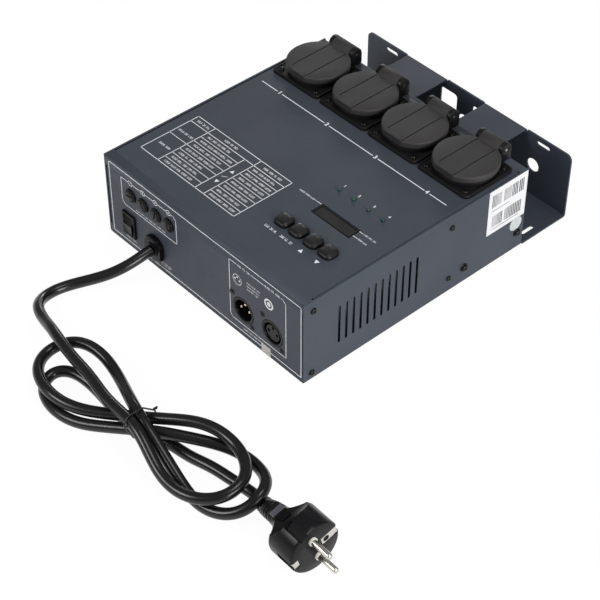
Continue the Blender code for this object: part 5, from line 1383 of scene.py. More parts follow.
def socket_lid():
    """Round cap with a straight front edge, two grooves, and the hood over the hinge."""
    bore = LID - LID_WALL
    roof = LID_TOP - LID_ROOF
    lid = lathe("socket_lid", [
        (bore * 0.6, roof), (bore, roof), (bore, LID_BOTTOM), (LID - 0.0003, LID_BOTTOM),
        (LID, LID_BOTTOM + 0.0003), (LID, LID_TOP - 0.0013), (LID - 0.00025, LID_TOP - 0.0006),
        (LID - 0.0007, LID_TOP - 0.0002), (LID - 0.0014, LID_TOP), (LID * 0.55, LID_TOP),
    ], 96)
    over = LID + SHEET
    deep, high = LID_BOTTOM - SHEET, LID_TOP + SHEET
    combine(lid, box("chord", (-over, -over, deep), (over, -LID_CHORD, high)))
    for side in (-1, 1):
        x = span(side, HOOD_HALF, EAR_HALF + SEAT)
        front = HINGE_BACK - BARREL - SEAT
        combine(lid, box("ear_room", (x[0], front, deep), (x[1], over, high)))
    head = arc((HINGE_BACK, HINGE_HEIGHT), BARREL, -90, 90, 20)
    shoulder = HINGE_BACK - BARREL - LID_ROOF
    outline = [*head, (HINGE_BACK - BARREL / 2, HINGE_HEIGHT + BARREL - 0.0004)]
    outline += [(shoulder, LID_TOP - 0.0004), (shoulder, roof)]
    outline += [(HINGE_BACK - BARREL, roof - 0.001)]
    outline += [(HINGE_BACK - BARREL * 0.7, HINGE_HEIGHT - BARREL * 0.7)]
    hood = extrusion("hood", [(-HOOD_HALF, y, z) for y, z in outline], (2 * HOOD_HALF, 0, 0))
    ease(hood, 0.0004)
    combine(lid, hood, "UNION")
    for side, start in ((-1, -LID_CHORD + 0.0040), (1, -over)):
        x = side * GROOVE_X
        low = (x - GROOVE_WIDTH / 2, start, LID_TOP - GROOVE_DEPTH)
        far = HINGE_BACK - BARREL - LID_ROOF
        combine(lid, box("groove", low, (x + GROOVE_WIDTH / 2, far, high)))
    reach = HOOD_HALF - CHEEK
    cavity = arc((HINGE_BACK, HINGE_HEIGHT), HINGE_CAVITY, 0, 180, 16)
    foot = HINGE_HEIGHT - BARREL - SHEET
    cavity += [(HINGE_BACK - HINGE_CAVITY, foot), (HINGE_BACK + HINGE_CAVITY, foot)]
    combine(lid, extrusion("cavity", [(-reach, y, z) for y, z in cavity], (2 * reach, 0, 0)))
    reach = EAR_HALF + SHEET
    place = (HINGE_BACK, HINGE_HEIGHT)
    combine(lid, rod("pin_bore", PIN + SEAT, (-reach, *place), (reach, *place), 24))
    smooth(lid, 30)
    return lid


def screw(name, radius, height):
    """A pan head with a cross recess, its seat at z = 0."""
    head = lathe(name, [(radius, 0.0), (radius, height * 0.35), (radius * 0.95, height * 0.62),
                        (radius * 0.82, height * 0.84), (radius * 0.6, height * 0.96),
                        (radius * 0.35, height)], 32)
    arm, half = radius * 0.55, radius * 0.12
    for turn in (0, 90):
        slot = box("recess", (-arm, -half, height * 0.4), (arm, half, height * 2))
        move(slot, turned(turn))
        combine(head, slot)
    smooth(head, 35)
    return head


def build_sockets():
    """Four housings with their screws, and four lids on their hinges."""
    housing, lid = socket_housing(), socket_lid()
    fixing = screw("fixing", sizes().socket_screw, 0.0014)
    seat = SEAT + FLANGE_THICK - 0.0006
    spots = [(x, y) for y in SCREW_ROWS for x in (-SCREW_X, SCREW_X)]
    for number, middle in zip(SOCKETS, row(0, SOCKET_PITCH)):
        place = on_top(middle, SOCKET_Y)
        settle(copy(housing, f"outlet_{number}", place), flange_plastic(),
               f"socket_{number}_housing")
        settle(copy(lid, f"outlet_{number}_cap", place), lid_plastic(), f"socket_{number}_lid",
               body=f"lid_{number}")
        for i, (x, y) in enumerate(spots, 1):
            spot = place @ shift(x, y, seat) @ turned(37 * i + 23 * number)
            settle(copy(fixing, f"outlet_{number}_screw_{i}", spot), black_zinc())
    drop(housing, lid, fixing)


# ---- control panel


def build_controls():
    """Push buttons, indicator lamps and the display window."""
    under = -SHEET - SEAT
    half = (BUTTON_HALF, BUTTON_HALF)
    levels = [(-0.0008, under - 0.0010), (-0.0008, under), (0, under), (0, 0.0016),
              (0.0001, 0.0022), (0.0004, 0.0028), (0.0010, 0.0033), (0.0019, 0.0037),
              (0.0031, 0.0039), (0.0046, 0.0040)]
    button = slab("button", half, BUTTON_CORNER, levels, 8)
    stem = rod("stem", BUTTON_STEM, (0, 0, BUTTON_FOOT), (0, 0, under - 0.0005))
    combine(button, stem, "UNION")
    smooth(button, 40)
    for number, x in enumerate(row(BUTTON_X, BUTTON_PITCH), 1):
        node = f"button_{number}"
        settle(copy(button, f"key_{number}", on_top(x, BUTTON_Y)), button_plastic(), node,
               body=node)

    dome = [(r, 0.0006 + h) for r, h in arc((0, 0), LED, 0, 80, 8)]
    lamp = lathe("lamp", [(LED, LED_FOOT), *dome], 32)
    smooth(lamp, 50)
    for number, x in enumerate(row(LED_X, LED_PITCH), 1):
        settle(copy(lamp, f"lamp_{number}", on_top(x, LED_Y)), green_lens(), f"led_{number}",
               slot="green_lens")

    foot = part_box("display_window")[0][2]
    face = -DISPLAY_SUNK
    levels = [(0, foot - CASE_HEIGHT), (0, face - 0.0001), (0.0001, face), (0.0009, face),
              (0.0010, face - 0.0006), (0.0018, face - 0.0006), (0.0019, face - 0.0001)]
    window = slab("display", DISPLAY_HALF, 0, levels)
    move(window, on_top(*DISPLAY_AT))
    settle(window, dark_acrylic(), "display_window", slot="dark_acrylic")
    drop(button, lamp)


# ---- front panel


def fuse_holder():
    """A turned holder: the ring on the panel, the seat of the cap, and the barrel behind."""
    front = SEAT + FUSE_RING_THICK
    seat = front - FUSE_HEAD_THICK - 2 * SEAT
    lip = FUSE_HEAD + SEAT
    holder = lathe("holder", [
        (FUSE_BARREL, -FUSE_BARREL_DEPTH), (FUSE_BARREL, SEAT), (FUSE_RING, SEAT),
        (FUSE_RING, front - 0.0005), (FUSE_RING - 0.00015, front - 0.00015),
        (FUSE_RING - 0.0005, front), (lip + 0.0002, front), (lip, front - 0.0002),
        (lip, seat), (FUSE_BORE, seat), (FUSE_BORE, SHEET - FUSE_BARREL_DEPTH),
    ], 56)
    smooth(holder)
    return holder


def fuse_knob(name, turn):
    """A cap with its neck, and a driver slot turned by some degrees."""
    head = FUSE_RING_THICK + 2 * SEAT
    back = head - FUSE_HEAD_THICK
    cap = lathe(name, [
        (FUSE_NECK_BORE, back - 0.0008), (FUSE_NECK_BORE, back - FUSE_NECK_LENGTH),
        (FUSE_NECK, back - FUSE_NECK_LENGTH), (FUSE_NECK, back), (FUSE_HEAD, back),
        (FUSE_HEAD, head - 0.0005), (FUSE_HEAD - 0.00015, head - 0.00015),
        (FUSE_HEAD - 0.0005, head), (FUSE_HEAD * 0.5, head),
    ], 56)
    long, half, deep = FUSE_HEAD * 0.82, DRIVER_SLOT_HALF, DRIVER_SLOT_DEPTH
    slot = box("slot", (-long, -half, head - deep), (long, half, head + deep))
    move(slot, turned(turn))
    combine(cap, slot)
    smooth(cap)
    return cap


def build_fuses():
    """Four turned fuse holders with slotted caps."""
    holder = fuse_holder()
    for number, (x, turn) in enumerate(zip(row(FUSE_X, FUSE_PITCH), SLOT_TURNS), 1):
        place = on_front(x, FUSE_Z)
        settle(copy(holder, f"fuse_socket_{number}", place), gloss_plastic(),
               f"fuse_holder_{number}")
        cap = fuse_knob(f"fuse_knob_{number}", turn)
        move(cap, place)
        node = f"fuse_cap_{number}"
        settle(cap, gloss_plastic(), node, body=node)
    drop(holder)


def build_switch():
    """Mains rocker switch: its bezel and body, and the rocker."""
    body = dressed_copy("switch_body", "switch_frame", 0.0003)
    settle(body, gloss_plastic(), "switch_body")
    rocker = dressed_copy("switch_rocker", "switch_paddle", 0.0003)
    smooth(rocker, 12)
    settle(rocker, gloss_plastic(), "switch_rocker", body="power_rocker")


def signal_shell():
    """A connector's round shell in the panel, with the flange behind it."""
    shell = lathe("shell", [
        (NOSE, -SIGNAL_DEPTH - 0.0030), (NOSE, -0.0005), (NOSE - 0.00015, -0.00015),
        (NOSE - 0.0005, 0.0), (BORE + 0.0007, 0.0), (BORE + 0.0002, -0.0003), (BORE, -0.0008),
        (BORE, -SIGNAL_DEPTH), (BORE * 0.5, -SIGNAL_DEPTH),
    ], 72)
    behind = -SHEET - SEAT
    levels = [(0, behind - 0.0020), (0, behind)]
    flange = slab("flange", SIGNAL_FLANGE_HALF, 0.0020, levels, 4)
    combine(flange, rod("eye", NOSE - 0.0004, (0, 0, -0.009), (0, 0, 0.001), 64))
    combine(shell, flange, "UNION")
    smooth(shell)
    return shell


def build_signals():
    """Signal input with three pins, signal output with three holes, and their screws."""
    shell = signal_shell()
    floor = -SIGNAL_DEPTH + SEAT
    base = floor + SIGNAL_BASE_THICK
    spots = arc((0, 0), SIGNAL_CIRCLE, 180, 0, 2)

    place = on_front(SIGNAL_IN_X, SIGNAL_Z)
    settle(copy(shell, "signal_in_shell", place), gloss_plastic(), "signal_in_housing")
    disc = lathe("signal_in_base", [
        (BORE - SEAT, floor), (BORE - SEAT, base), (SIGNAL_CIRCLE * 1.6, base),
        (SIGNAL_CIRCLE * 1.5, base - 0.0004), (SIGNAL_CIRCLE, base - 0.0004),
    ], 64)
    smooth(disc)
    move(disc, place)
    settle(disc, flange_plastic(), "signal_in_insert")
    tip = -0.0016
    pin = lathe("pin", [(SIGNAL_PIN, floor + 0.001), (SIGNAL_PIN, tip - 0.0008),
                        (SIGNAL_PIN * 0.85, tip - 0.0003), (SIGNAL_PIN * 0.4, tip)], 28)
    smooth(pin, 50)
    for number, (x, y) in enumerate(spots, 1):
        settle(copy(pin, f"signal_contact_{number}", place @ shift(x, y)), gold_contact(),
               slot="nickel")

    place = on_front(SIGNAL_OUT_X, SIGNAL_Z)
    settle(copy(shell, "signal_out_shell", place), gloss_plastic(), "signal_out_housing")
    face = -0.0006
    insert = lathe("signal_out_core", [
        (BORE - SEAT, floor), (BORE - SEAT, base), (NECK, base), (NECK, face - 0.0005),
        (NECK - 0.0002, face - 0.0001), (NECK - 0.0006, face), (NECK - 0.0013, face),
        (NECK - 0.0015, face - 0.0002), (NECK * 0.3, face - 0.0002),
    ], 64)
    for x, y in spots:
        combine(insert, rod("hole", SIGNAL_PIN + SEAT, (x, y, -0.012), (x, y, SHEET), 28))
    smooth(insert)
    move(insert, place)
    settle(insert, flange_plastic(), "signal_out_insert")

    fixing = screw("fixing", sizes().signal_screw, 0.0010)
    for number, (x, z) in enumerate(SIGNAL_CORNERS, 1):
        settle(copy(fixing, f"signal_screw_{number}", on_front(x, z) @ turned(29 * number)),
               black_zinc())
    drop(shell, pin, fixing)


def build_gland():
    """Cord gland: a round flange with two flats, an eight-sided collar and its nut."""
    flange, face = GLAND_FLANGE, SEAT + GLAND_THICK
    nut = -SHEET - SEAT
    gland = lathe("gland", [
        (GLAND_BARREL, nut - 0.009), (GLAND_BARREL, nut - GLAND_NUT_THICK),
        (GLAND_NUT, nut - GLAND_NUT_THICK), (GLAND_NUT, nut), (GLAND_BARREL, nut),
        (GLAND_BARREL, SEAT), (flange, SEAT), (flange, face - 0.0014),
        (flange - 0.0003, face - 0.0006), (flange - 0.0008, face - 0.0002),
        (flange - 0.0014, face), (flange * 0.5, face),
    ], 72)
    for side in (-1, 1):
        x = span(side, GLAND_FLAT, 2 * flange)
        combine(gland, box("flat", (x[0], -flange, 0), (x[1], flange, 2 * GLAND_REACH)))
    mouth = [(0.0074, GLAND_THICK / 2), (0.0066, GLAND_REACH), (0.0051, GLAND_REACH),
             (0.0050, GLAND_REACH - 0.0003)]
    collar = lathe("collar", mouth, 8)
    move(collar, turned(22.5))
    ease(collar, 0.0004, 3, 25)
    combine(gland, collar, "UNION")
    smooth(gland, 30)
    move(gland, on_front(GLAND_X, GLAND_Z))
    settle(gland, gloss_plastic(), "cord_gland")


# ---- trim


def build_screws():
    """Pan-head screws in both sides, the widest with a washer."""
    heads = {radius: screw("side_head", radius, radius * 0.62)
             for radius in {radius for _, _, radius in SIDE_SCREWS}}
    washer = lathe("washer", [(WASHER, 0), (WASHER, 0.0005), (WASHER - 0.0002, 0.0007),
                              (0.0018, 0.0007)], 40)
    smooth(washer)
    for side, word in ((1, "right"), (-1, "left")):
        for number, (y, z, radius) in enumerate(SIDE_SCREWS, 1):
            place = on_side(y, z, side)
            washed = radius > WASHED_FROM
            spot = place @ shift(0, 0, 0.0006 if washed else 0.0) @ turned(31 * number)
            settle(copy(heads[radius], f"{word}_screw_{number}", spot), black_zinc(),
                   slot="coated_steel")
            if washed:
                settle(copy(washer, f"{word}_washer", place), black_zinc(), slot="coated_steel")
    drop(washer, *heads.values())


def start_sheet(name):
    """An empty mesh in edit mode, for the shapes of one print."""
    put_down()
    piece = put_in(name, bpy.data.meshes.new(name))
    pick(piece)
    bpy.ops.object.mode_set(mode="EDIT")
    return piece


def lay(x, y, turn=0.0, size=(1.0, 1.0)):
    """Size, turn and place the shape just added to a sheet; places are in millimetres."""
    centre = (0, 0, 0)
    bpy.ops.transform.resize(value=(size[0], size[1], 1), center_override=centre)
    if turn:
        bpy.ops.transform.rotate(value=-turn, orient_axis="Z", center_override=centre)
    bpy.ops.transform.translate(value=(x / 1000, y / 1000, 0))


def line(start, end, width=None):
    """One straight stroke of print, in millimetres on its panel."""
    width = width or sizes().print_line * 1000
    along = Vector(end) - Vector(start)
    middle = (Vector(end) + Vector(start)) / 2
    bpy.ops.mesh.primitive_plane_add(size=0.001)
    lay(middle.x, middle.y, math.atan2(along.y, along.x), (along.length + width, width))


def path(*points, width=None):
    for start, end in zip(points, points[1:]):
        line(start, end, width)


def broken_line(ends, breaks, gap, y, width=None):
    """A level line that stays clear of each number on it."""
    edges = [ends[0], *(x + side * gap for x in breaks for side in (-1, 1)), ends[1]]
    for start, end in zip(edges[::2], edges[1::2]):
        line((start, y), (end, y), width)


def triangle(x, y, radius, up):
    bpy.ops.mesh.primitive_circle_add(vertices=3, radius=radius / 1000, fill_type="NGON")
    lay(x, y, 0 if up else math.pi)


def ring(x, y, radius, width, squeeze=1.0):
    """A round stroke; with squeeze, an oval one."""
    bpy.ops.mesh.primitive_circle_add(vertices=32, radius=radius / 1000, fill_type="NOTHING")
    bpy.ops.mesh.extrude_region_move()
    inner = 1 - width / radius
    bpy.ops.transform.resize(value=(inner, inner, 1), center_override=(0, 0, 0))
    bpy.ops.mesh.select_linked()
    lay(x, y, size=(1, squeeze))


def dot(x, y, radius):
    bpy.ops.mesh.primitive_circle_add(vertices=20, radius=radius / 1000, fill_type="NGON")
    lay(x, y)


def thicken(thick):
    """Raise the strokes being drawn to the ink's thickness."""
    bpy.ops.mesh.select_all(action="SELECT")
    bpy.ops.mesh.extrude_region_move(TRANSFORM_OT_translate={"value": (0, 0, thick)})


def finish_sheet(piece, numbers=(), marks=()):
    """Give the strokes the ink's thickness; add marks and numbers (text, x, y, size)."""
    thick = sizes().print_thick
    thicken(thick)
    bpy.ops.mesh.select_all(action="SELECT")
    bpy.ops.mesh.normals_make_consistent(inside=False)
    bpy.ops.object.mode_set(mode="OBJECT")
    add_marks(piece, marks, thick)
    for text, x, y, size in numbers:
        put_down()
        bpy.ops.object.text_add()
        made = bpy.context.object
        made.data.body = text
        made.data.size = size / 1000
        made.data.align_x = "CENTER"
        made.data.align_y = "CENTER"
        made.data.extrude = thick / 2
        made.data.offset = size * 0.00004
        made = as_mesh(made)
        move(made, shift(x / 1000, y / 1000, thick / 2))
        pick(piece)
        made.select_set(True)
        bpy.ops.object.join()


def numbered(places, y, size):
    """The plain numbers 1, 2, 3 and on, at their places."""
    return [(str(number), x, y, size) for number, x in enumerate(places, 1)]


def top_print():
    """Channel line with numbers, the menu table's grid, marks round the controls."""
    piece = start_sheet("top_print")
    marks = []
    broken_line(CHANNEL_ENDS, CHANNEL_NUMBERS, 3.2, CHANNEL_Y, CHANNEL_STROKE)
    left, right, top, bottom = TABLE
    first, second, third = TABLE_COLUMNS
    path((left, top), (right, top), (right, bottom), (left, bottom), (left, top))
    line((left, TABLE_HEAD), (right, TABLE_HEAD))
    for x, start in ((first, top), (second, TABLE_HEAD), (third, top)):
        line((x, start), (x, bottom))
    tall = (TABLE_HEAD - bottom) / TABLE_ROWS
    rows = [TABLE_HEAD - tall * i for i in range(TABLE_ROWS + 1)]
    for i, y in enumerate(rows[1:-1], 1):
        line((left if i == GROUP_ROW else first, y), (second, y), TABLE_STROKE)
        line((third, y), (right, y), TABLE_STROKE)
    for above, below, menu, shown in zip(rows, rows[1:], MENU_WORDS, SHOWN_WORDS):
        words(marks, first + 4.5, (above + below) / 2, menu, 5)
        words(marks, third + 3.5, (above + below) / 2, shown, 4)
    for spot in TOP_WORDS:
        words(marks, *spot)
    for mark in TOP_TRIANGLES:
        triangle(*mark)
    for stroke in TOP_STROKES:
        line(*stroke)
    numbers = numbered(CHANNEL_NUMBERS, 38.4, 5.4) + numbered(LAMP_NUMBERS, -3.8, 3.3)
    finish_sheet(piece, numbers, marks)
    move(piece, shift(0, 0, CASE_HEIGHT + PRINT_GAP))
    settle(piece, print_ink(), slot="coated_steel")


# Strokes of the plain marks that stand for small print, in shares of a mark's box
MARKS = (
    (((0, 0), (0, 1)), ((0, 1), (1, 1)), ((1, 1), (1, 0))),
    (((0, 0), (0, 1)), ((0, 0), (1, 0))),
    (((0, 1), (1, 1)), ((1, 1), (1, 0)), ((1, 0), (0, 0))),
    (((0, 0), (0, 1)), ((0, 0.5), (1, 0.5)), ((1, 0), (1, 1))),
    (((0.5, 0), (0.5, 1)), ((0, 1), (1, 1))),
)
MARK_ORDER = (0, 3, 1, 4, 2, 0, 1, 3, 2, 4, 3, 0, 2, 1, 4)


def words(marks, x, y, length, count, height=1.7):
    """Where a line of small print stands: groups of plain marks of its length and height."""
    step = height * 0.72
    cells = max(count, round(length / step))
    gaps = {round(cells * (i + 1) / count) for i in range(count - 1)}
    for i in range(cells):
        if i in gaps:
            continue
        kind = MARK_ORDER[(i * 7 + round(abs(x) + abs(y))) % len(MARK_ORDER)]
        marks.append((kind, x + i * step, y - height / 2, height))


def add_marks(piece, marks, thick):
    """Model each kind of mark once, copy it to every place, and join all to the print."""
    kinds = []
    for number, strokes in enumerate(MARKS):
        mark = start_sheet(f"mark_{number}")
        for start, end in strokes:
            line((start[0] * 0.5, start[1]), (end[0] * 0.5, end[1]), 0.2)
        thicken(thick)
        close_mesh()
        kinds.append(mark)
    copies = []
    for kind, x, y, height in marks:
        size = Matrix.Diagonal((height, height, 1, 1))
        copies.append(copy(kinds[kind], "mark", shift(x / 1000, y / 1000) @ size))
    drop(*kinds)
    pick(piece)
    for mark in copies:
        mark.select_set(True)
    if copies:
        bpy.ops.object.join()


def front_print():
    """Border, fuse frame with its numbers, connector frame with contact diagrams."""
    piece = start_sheet("front_print")
    marks = []
    path(*BORDER, width=0.8)
    path(*FUSE_FRAME)
    (left, level), (right, _) = FUSE_FRAME[0], FUSE_FRAME[-1]
    broken_line((left, right), FUSE_NUMBERS, 2.8, level)
    for x in FUSE_NUMBERS:
        ring(x, level, 2.8, 0.6, 0.85)
    path(*SIGNAL_FRAME)
    for start, end in SIGNAL_TOP_LINES:
        line((start, SIGNAL_FRAME[0][1]), (end, SIGNAL_FRAME[0][1]))
    ring(*CONTACTS_MARK, 5.0, 0.5)
    for angle in (0, 90, 180):
        turn = math.radians(angle)
        dot(CONTACTS_MARK[0] + CONTACTS_CIRCLE * math.cos(turn),
            CONTACTS_MARK[1] + CONTACTS_CIRCLE * math.sin(turn), 0.9)
    ring(*OUTPUT_MARK, 5.0, 1.6)
    dot(*OUTPUT_MARK, 2.1)
    for spot in FRONT_WORDS:
        words(marks, *spot)
    finish_sheet(piece, numbered(FUSE_NUMBERS, level, 2.6), marks)
    move(piece, shift(0, FRONT - PRINT_GAP) @ turned(90, "X"))
    settle(piece, print_ink(), slot="coated_steel")


def barcode(start, end, z, tall):
    """Upright bars of uneven widths, in millimetres."""
    x, i = start, 0
    while x < end:
        wide = BAR_THIN + BAR_SPREAD * (0.5 + 0.5 * math.sin(12.9 * i + start))
        line((x + wide / 2, z - tall / 2), (x + wide / 2, z + tall / 2), wide)
        x += wide + BAR_GAP
        i += 1


def build_labels():
    """Barcode label, round sticker and the seal strip over the front's bottom edge."""
    half = [(b - a) / 2 for a, b in zip(LABEL_LOW, LABEL_HIGH)]
    middle = [(a + b) / 2 for a, b in zip(LABEL_LOW, LABEL_HIGH)]
    upright = Matrix(((0, 0, 1, RIGHT), (1, 0, 0, 0), (0, 1, 0, 0), (0, 0, 0, 1)))
    levels = [(0, PRINT_GAP), (0, 0.00012), (0.00005, LABEL_THICK)]
    label = slab("stock_label", half, 0.0006, levels, 3)
    move(label, upright @ shift(*middle))
    settle(label, label_paper(), slot="coated_steel")

    bars = start_sheet("stock_label_bars")
    for z, tall, groups in BARCODES:
        for start, end in groups:
            barcode(start, end, z, tall)
    for z, start, end in LABEL_LINES:
        line((start, z), (end, z), 0.5)
    finish_sheet(bars)
    move(bars, upright @ shift(0, 0, LABEL_THICK))
    settle(bars, label_ink(), slot="coated_steel")

    disc = lathe("round_sticker", [(STICKER, 0.0), (STICKER, 0.00010),
                                   (STICKER - 0.0001, 0.00014), (0.003, 0.00014)], 56)
    move(disc, upright @ shift(*STICKER_AT, PRINT_GAP))
    settle(disc, foil(), slot="coated_steel")

    left, right = SEAL_X
    outside = FRONT - SEAL_THICK
    seal = box("seal_strip", (left, outside, 0.0), (right, FRONT - PRINT_GAP, SEAL_REACH))
    under = box("seal_foot", (left, outside, -SEAL_THICK), (right, FRONT + SEAL_REACH, 0.0))
    combine(seal, under, "UNION")
    settle(seal, seal_paper(), slot="coated_steel")


# ---- kept nodes


def give(node, finish):
    for slot in frame["nodes"][node].material_slots:
        slot.material = finish


def dress_nodes():
    """Finishes for the CAD nodes that stay: hinge pins, springs, clips, boards, sink, fuses."""
    glass = banded("fuse_glass", "Y", ((FUSE_FERRULE_Y, (0.55, 0.54, 0.50)),),
                   (0.50, 0.52, 0.51), 0.16)
    for number in SOCKETS:
        give(f"socket_{number}_hinge_pin", spring_wire())
        give(f"socket_{number}_lid_spring", spring_wire())
        give(f"socket_{number}_earth_clip", bright_nickel())
        give(f"fuse_{number}", glass)
    give("power_board", banded("power_board_parts", "Z", (
        (POWER_BOARD_TOP + 0.0002, (0.36, 0.16, 0.05)),
        (POWER_BOARD_TOP + 0.0112, (0.05, 0.10, 0.22)),
        (POWER_BOARD_TOP + 0.0183, (0.55, 0.42, 0.10)),
    ), BOARD_GREEN, 0.45))
    give("control_board", banded("control_board_parts", "Z", (
        (CONTROL_BOARD_TOP + 0.0002, (0.02, 0.02, 0.022)),
    ), BOARD_GREEN, 0.45))
    give("heat_sink", mill_aluminium())


# ---- stage


def seen_rays(tree):
    """Camera, glossy and transmission rays together, as one 0-1 value."""
    path_node = tree.nodes.new("ShaderNodeLightPath")
    first = math_node(tree, "ADD", path_node.outputs["Is Camera Ray"],
                      path_node.outputs["Is Glossy Ray"], clamp=True)
    return math_node(tree, "ADD", first, path_node.outputs["Is Transmission Ray"], clamp=True)


def build_floor():
    """White paper floor: it glows for the camera and takes soft shadows from the lamps."""
    put_down()
    bpy.ops.mesh.primitive_plane_add(size=FLOOR_SIZE)
    floor = bpy.context.object
    floor.name = "floor"
    move(floor, shift(0, 0, -FLOOR_DROP))
    paper = bpy.data.materials.new("floor_paper")
    paper.use_nodes = True
    tree = paper.node_tree
    tree.nodes.clear()
    white = tree.nodes.new("ShaderNodeEmission")
    white.inputs["Strength"].default_value = FLOOR_GLOW
    matt = tree.nodes.new("ShaderNodeBsdfDiffuse")
    matt.inputs["Color"].default_value = (FLOOR_WHITE, FLOOR_WHITE, FLOOR_WHITE, 1)
    blend = tree.nodes.new("ShaderNodeMixShader")
    out = tree.nodes.new("ShaderNodeOutputMaterial")
    share = math_node(tree, "MULTIPLY", seen_rays(tree), FLOOR_GLOW_SHARE)
    tree.links.new(share, blend.inputs[0])
    tree.links.new(matt.outputs[0], blend.inputs[1])
    tree.links.new(white.outputs[0], blend.inputs[2])
    tree.links.new(blend.outputs[0], out.inputs["Surface"])
    floor.data.materials.append(paper)


def build_lamps():
    """The surrounding light, and the soft square lamps, each aimed at the pack."""
    world = bpy.data.worlds.new("studio")
    bpy.context.scene.world = world
    world.use_nodes = True
    tree = world.node_tree
    tree.nodes.clear()
    soft = tree.nodes.new("ShaderNodeBackground")
    soft.inputs["Strength"].default_value = SURROUND
    out = tree.nodes.new("ShaderNodeOutputWorld")
    tree.links.new(soft.outputs[0], out.inputs["Surface"])
    for name, place, size, power in LAMPS:
        light = bpy.data.lights.new(name, "AREA")
        light.shape = "SQUARE"
        light.size = size
        light.energy = power
        lamp = put_in(name, light)
        lamp.location = place
        aim = Vector(LAMP_AIM) - Vector(place)
        lamp.rotation_euler = aim.to_track_quat("-Z", "Y").to_euler()


def build_camera():
    """The camera that took the photograph, as fitted."""
    data = bpy.data.cameras.new("camera")
    data.lens = CAMERA_LENS
    data.sensor_width = CAMERA_SENSOR
    data.clip_end = CAMERA_FAR
    camera = put_in("camera", data)
    aim = Vector(CAMERA_AIM) - Vector(CAMERA_AT)
    turn = aim.to_track_quat("-Z", "Y").to_matrix() @ Matrix.Rotation(CAMERA_ROLL, 3, "Z")
    camera.location = CAMERA_AT
    camera.rotation_euler = turn.to_euler()
    bpy.context.scene.camera = camera
    bpy.context.scene.view_settings.view_transform = "Standard"


def build_stage():
    """White floor, soft lamps, the surrounding light and the camera."""
    build_floor()
    build_lamps()
    build_camera()


# ---- add-on


def length_property(name, description, default, low, high):
    return FloatProperty(name=name, description=description, default=default, min=low,
                         max=high, subtype="DISTANCE", unit="LENGTH")


class DimmerPackSizes(bpy.types.PropertyGroup):
    cord_diameter: length_property(
        "Cord Diameter", "Outside diameter of the mains cord", CORD, 0.005, 0.0095)
    tie_wire: length_property(
        "Tie Wire", "Radius of the coated wire round the bundle", 0.00065, 0.0003, 0.0008)
    sheet_edge: length_property(
        "Sheet Edge", "Rounding of the coated sheet's cut edges", 0.00025, 0.00005, 0.0005)
    socket_screw: length_property(
        "Socket Screw", "Radius of the screw heads on the outlets", 0.0025, 0.0015, 0.0028)
    signal_screw: length_property(
        "Connector Screw", "Radius of the connectors' screw heads", 0.0025, 0.0012, 0.0025)
    print_line: length_property(
        "Print Line", "Width of the thin printed lines", 0.00065, 0.0002, 0.001)
    print_thick: length_property(
        "Ink", "Thickness of the white print", 0.00004, 0.00001, 0.0002)


def colour_property(name, description, default):
    return FloatVectorProperty(name=name, description=description, default=default,
                               size=3, min=0.0, max=1.0, subtype="COLOR")


class DimmerPackColours(bpy.types.PropertyGroup):
    coat: colour_property("Powder Coat", "Coat of the sheet metal", (0.052, 0.062, 0.080))
    lid: colour_property("Lids", "Matt plastic of the outlet lids", (0.022, 0.0195, 0.021))
    plastic: colour_property("Black Plastic", "Mouldings of the fittings", (0.007, 0.007, 0.008))
    cord: colour_property("Cord", "Sheath of the cord and plug", (0.007, 0.007, 0.008))
    print: colour_property("Print", "Screen print on the panels", (0.90, 0.91, 0.93))
    lens: colour_property("Lamp", "Lens of the indicator lamps", (0.006, 0.050, 0.028))
    nickel: colour_property("Nickel", "Plug pins and earth parts", (0.66, 0.63, 0.58))


class DIMMERPACK_OT_stage(bpy.types.Operator):
    """Add the floor, the lamps and the camera"""
    bl_idname = "dimmer_pack.stage"
    bl_label = "Stage"

    def execute(self, context):
        build_stage()
        return {"FINISHED"}


class DIMMERPACK_OT_cord(bpy.types.Operator):
    """Add the mains cord with its tie, boot and plug"""
    bl_idname = "dimmer_pack.cord"
    bl_label = "Cord and Plug"

    def execute(self, context):
        sheath, tie, start, length = build_cord()
        pieces = build_plug()
        return {"FINISHED"}


class DIMMERPACK_OT_case(bpy.types.Operator):
    """Dress the base pan with its bracket, and the top cover"""
    bl_idname = "dimmer_pack.case"
    bl_label = "Case"

    def execute(self, context):
        build_case()
        return {"FINISHED"}


class DIMMERPACK_OT_sockets(bpy.types.Operator):
    """Add the outlets, their lids and screws"""
    bl_idname = "dimmer_pack.sockets"
    bl_label = "Outlets"

    def execute(self, context):
        build_sockets()
        return {"FINISHED"}


class DIMMERPACK_OT_controls(bpy.types.Operator):
    """Add the push buttons, indicator lamps and display"""
    bl_idname = "dimmer_pack.controls"
    bl_label = "Controls"

    def execute(self, context):
        build_controls()
        return {"FINISHED"}


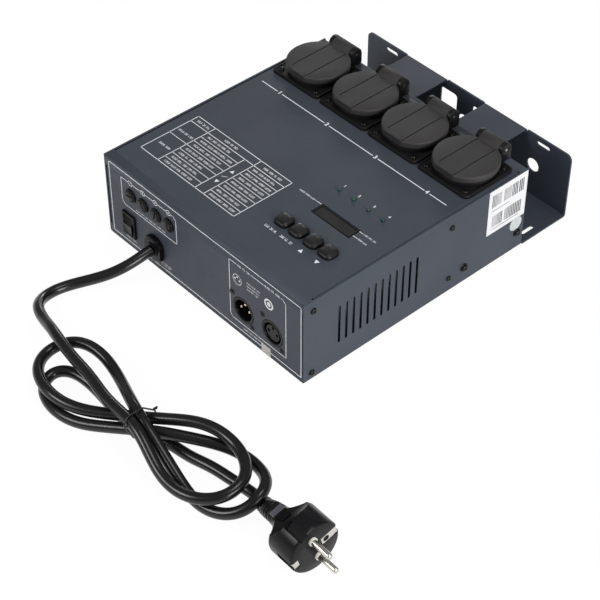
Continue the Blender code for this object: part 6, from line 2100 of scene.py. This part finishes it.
class DIMMERPACK_OT_front(bpy.types.Operator):
    """Add the fuses, rocker switch, signal connectors and cord gland"""
    bl_idname = "dimmer_pack.front"
    bl_label = "Front Panel"

    def execute(self, context):
        build_fuses()
        build_switch()
        build_signals()
        build_gland()
        return {"FINISHED"}


class DIMMERPACK_OT_trim(bpy.types.Operator):
    """Add the screws, the white print, the labels and the seal"""
    bl_idname = "dimmer_pack.trim"
    bl_label = "Screws and Print"

    def execute(self, context):
        build_screws()
        top_print()
        front_print()
        build_labels()
        return {"FINISHED"}


class DIMMERPACK_OT_inner(bpy.types.Operator):
    """Give the CAD parts that stay their finishes"""
    bl_idname = "dimmer_pack.inner"
    bl_label = "Inner Parts"

    def execute(self, context):
        dress_nodes()
        return {"FINISHED"}


OPERATORS = (
    DIMMERPACK_OT_stage,
    DIMMERPACK_OT_cord,
    DIMMERPACK_OT_case,
    DIMMERPACK_OT_sockets,
    DIMMERPACK_OT_controls,
    DIMMERPACK_OT_front,
    DIMMERPACK_OT_trim,
    DIMMERPACK_OT_inner,
)


class DIMMERPACK_PT_panel(bpy.types.Panel):
    """The dimmer pack's settings and its pieces, in order"""
    bl_label = "Dimmer Pack"
    bl_space_type = "VIEW_3D"
    bl_region_type = "UI"
    bl_category = "Dimmer Pack"

    def draw(self, context):
        for settings in (sizes(), colours()):
            box = self.layout.box()
            for name in settings.__annotations__:
                box.prop(settings, name)
        for operator in OPERATORS:
            self.layout.operator(operator.bl_idname)


CLASSES = (DimmerPackSizes, DimmerPackColours, *OPERATORS, DIMMERPACK_PT_panel)


def register():
    for made in CLASSES:
        bpy.utils.register_class(made)
    bpy.types.Scene.dimmer_pack_sizes = PointerProperty(type=DimmerPackSizes)
    bpy.types.Scene.dimmer_pack_colours = PointerProperty(type=DimmerPackColours)


def unregister():
    del bpy.types.Scene.dimmer_pack_colours
    del bpy.types.Scene.dimmer_pack_sizes
    for made in reversed(CLASSES):
        bpy.utils.unregister_class(made)


def main():
    register()
    put_down()
    for operator in OPERATORS:
        group, name = operator.bl_idname.split(".")
        getattr(getattr(bpy.ops, group), name)()
    put_down()


if __name__ == "__main__":
    main()
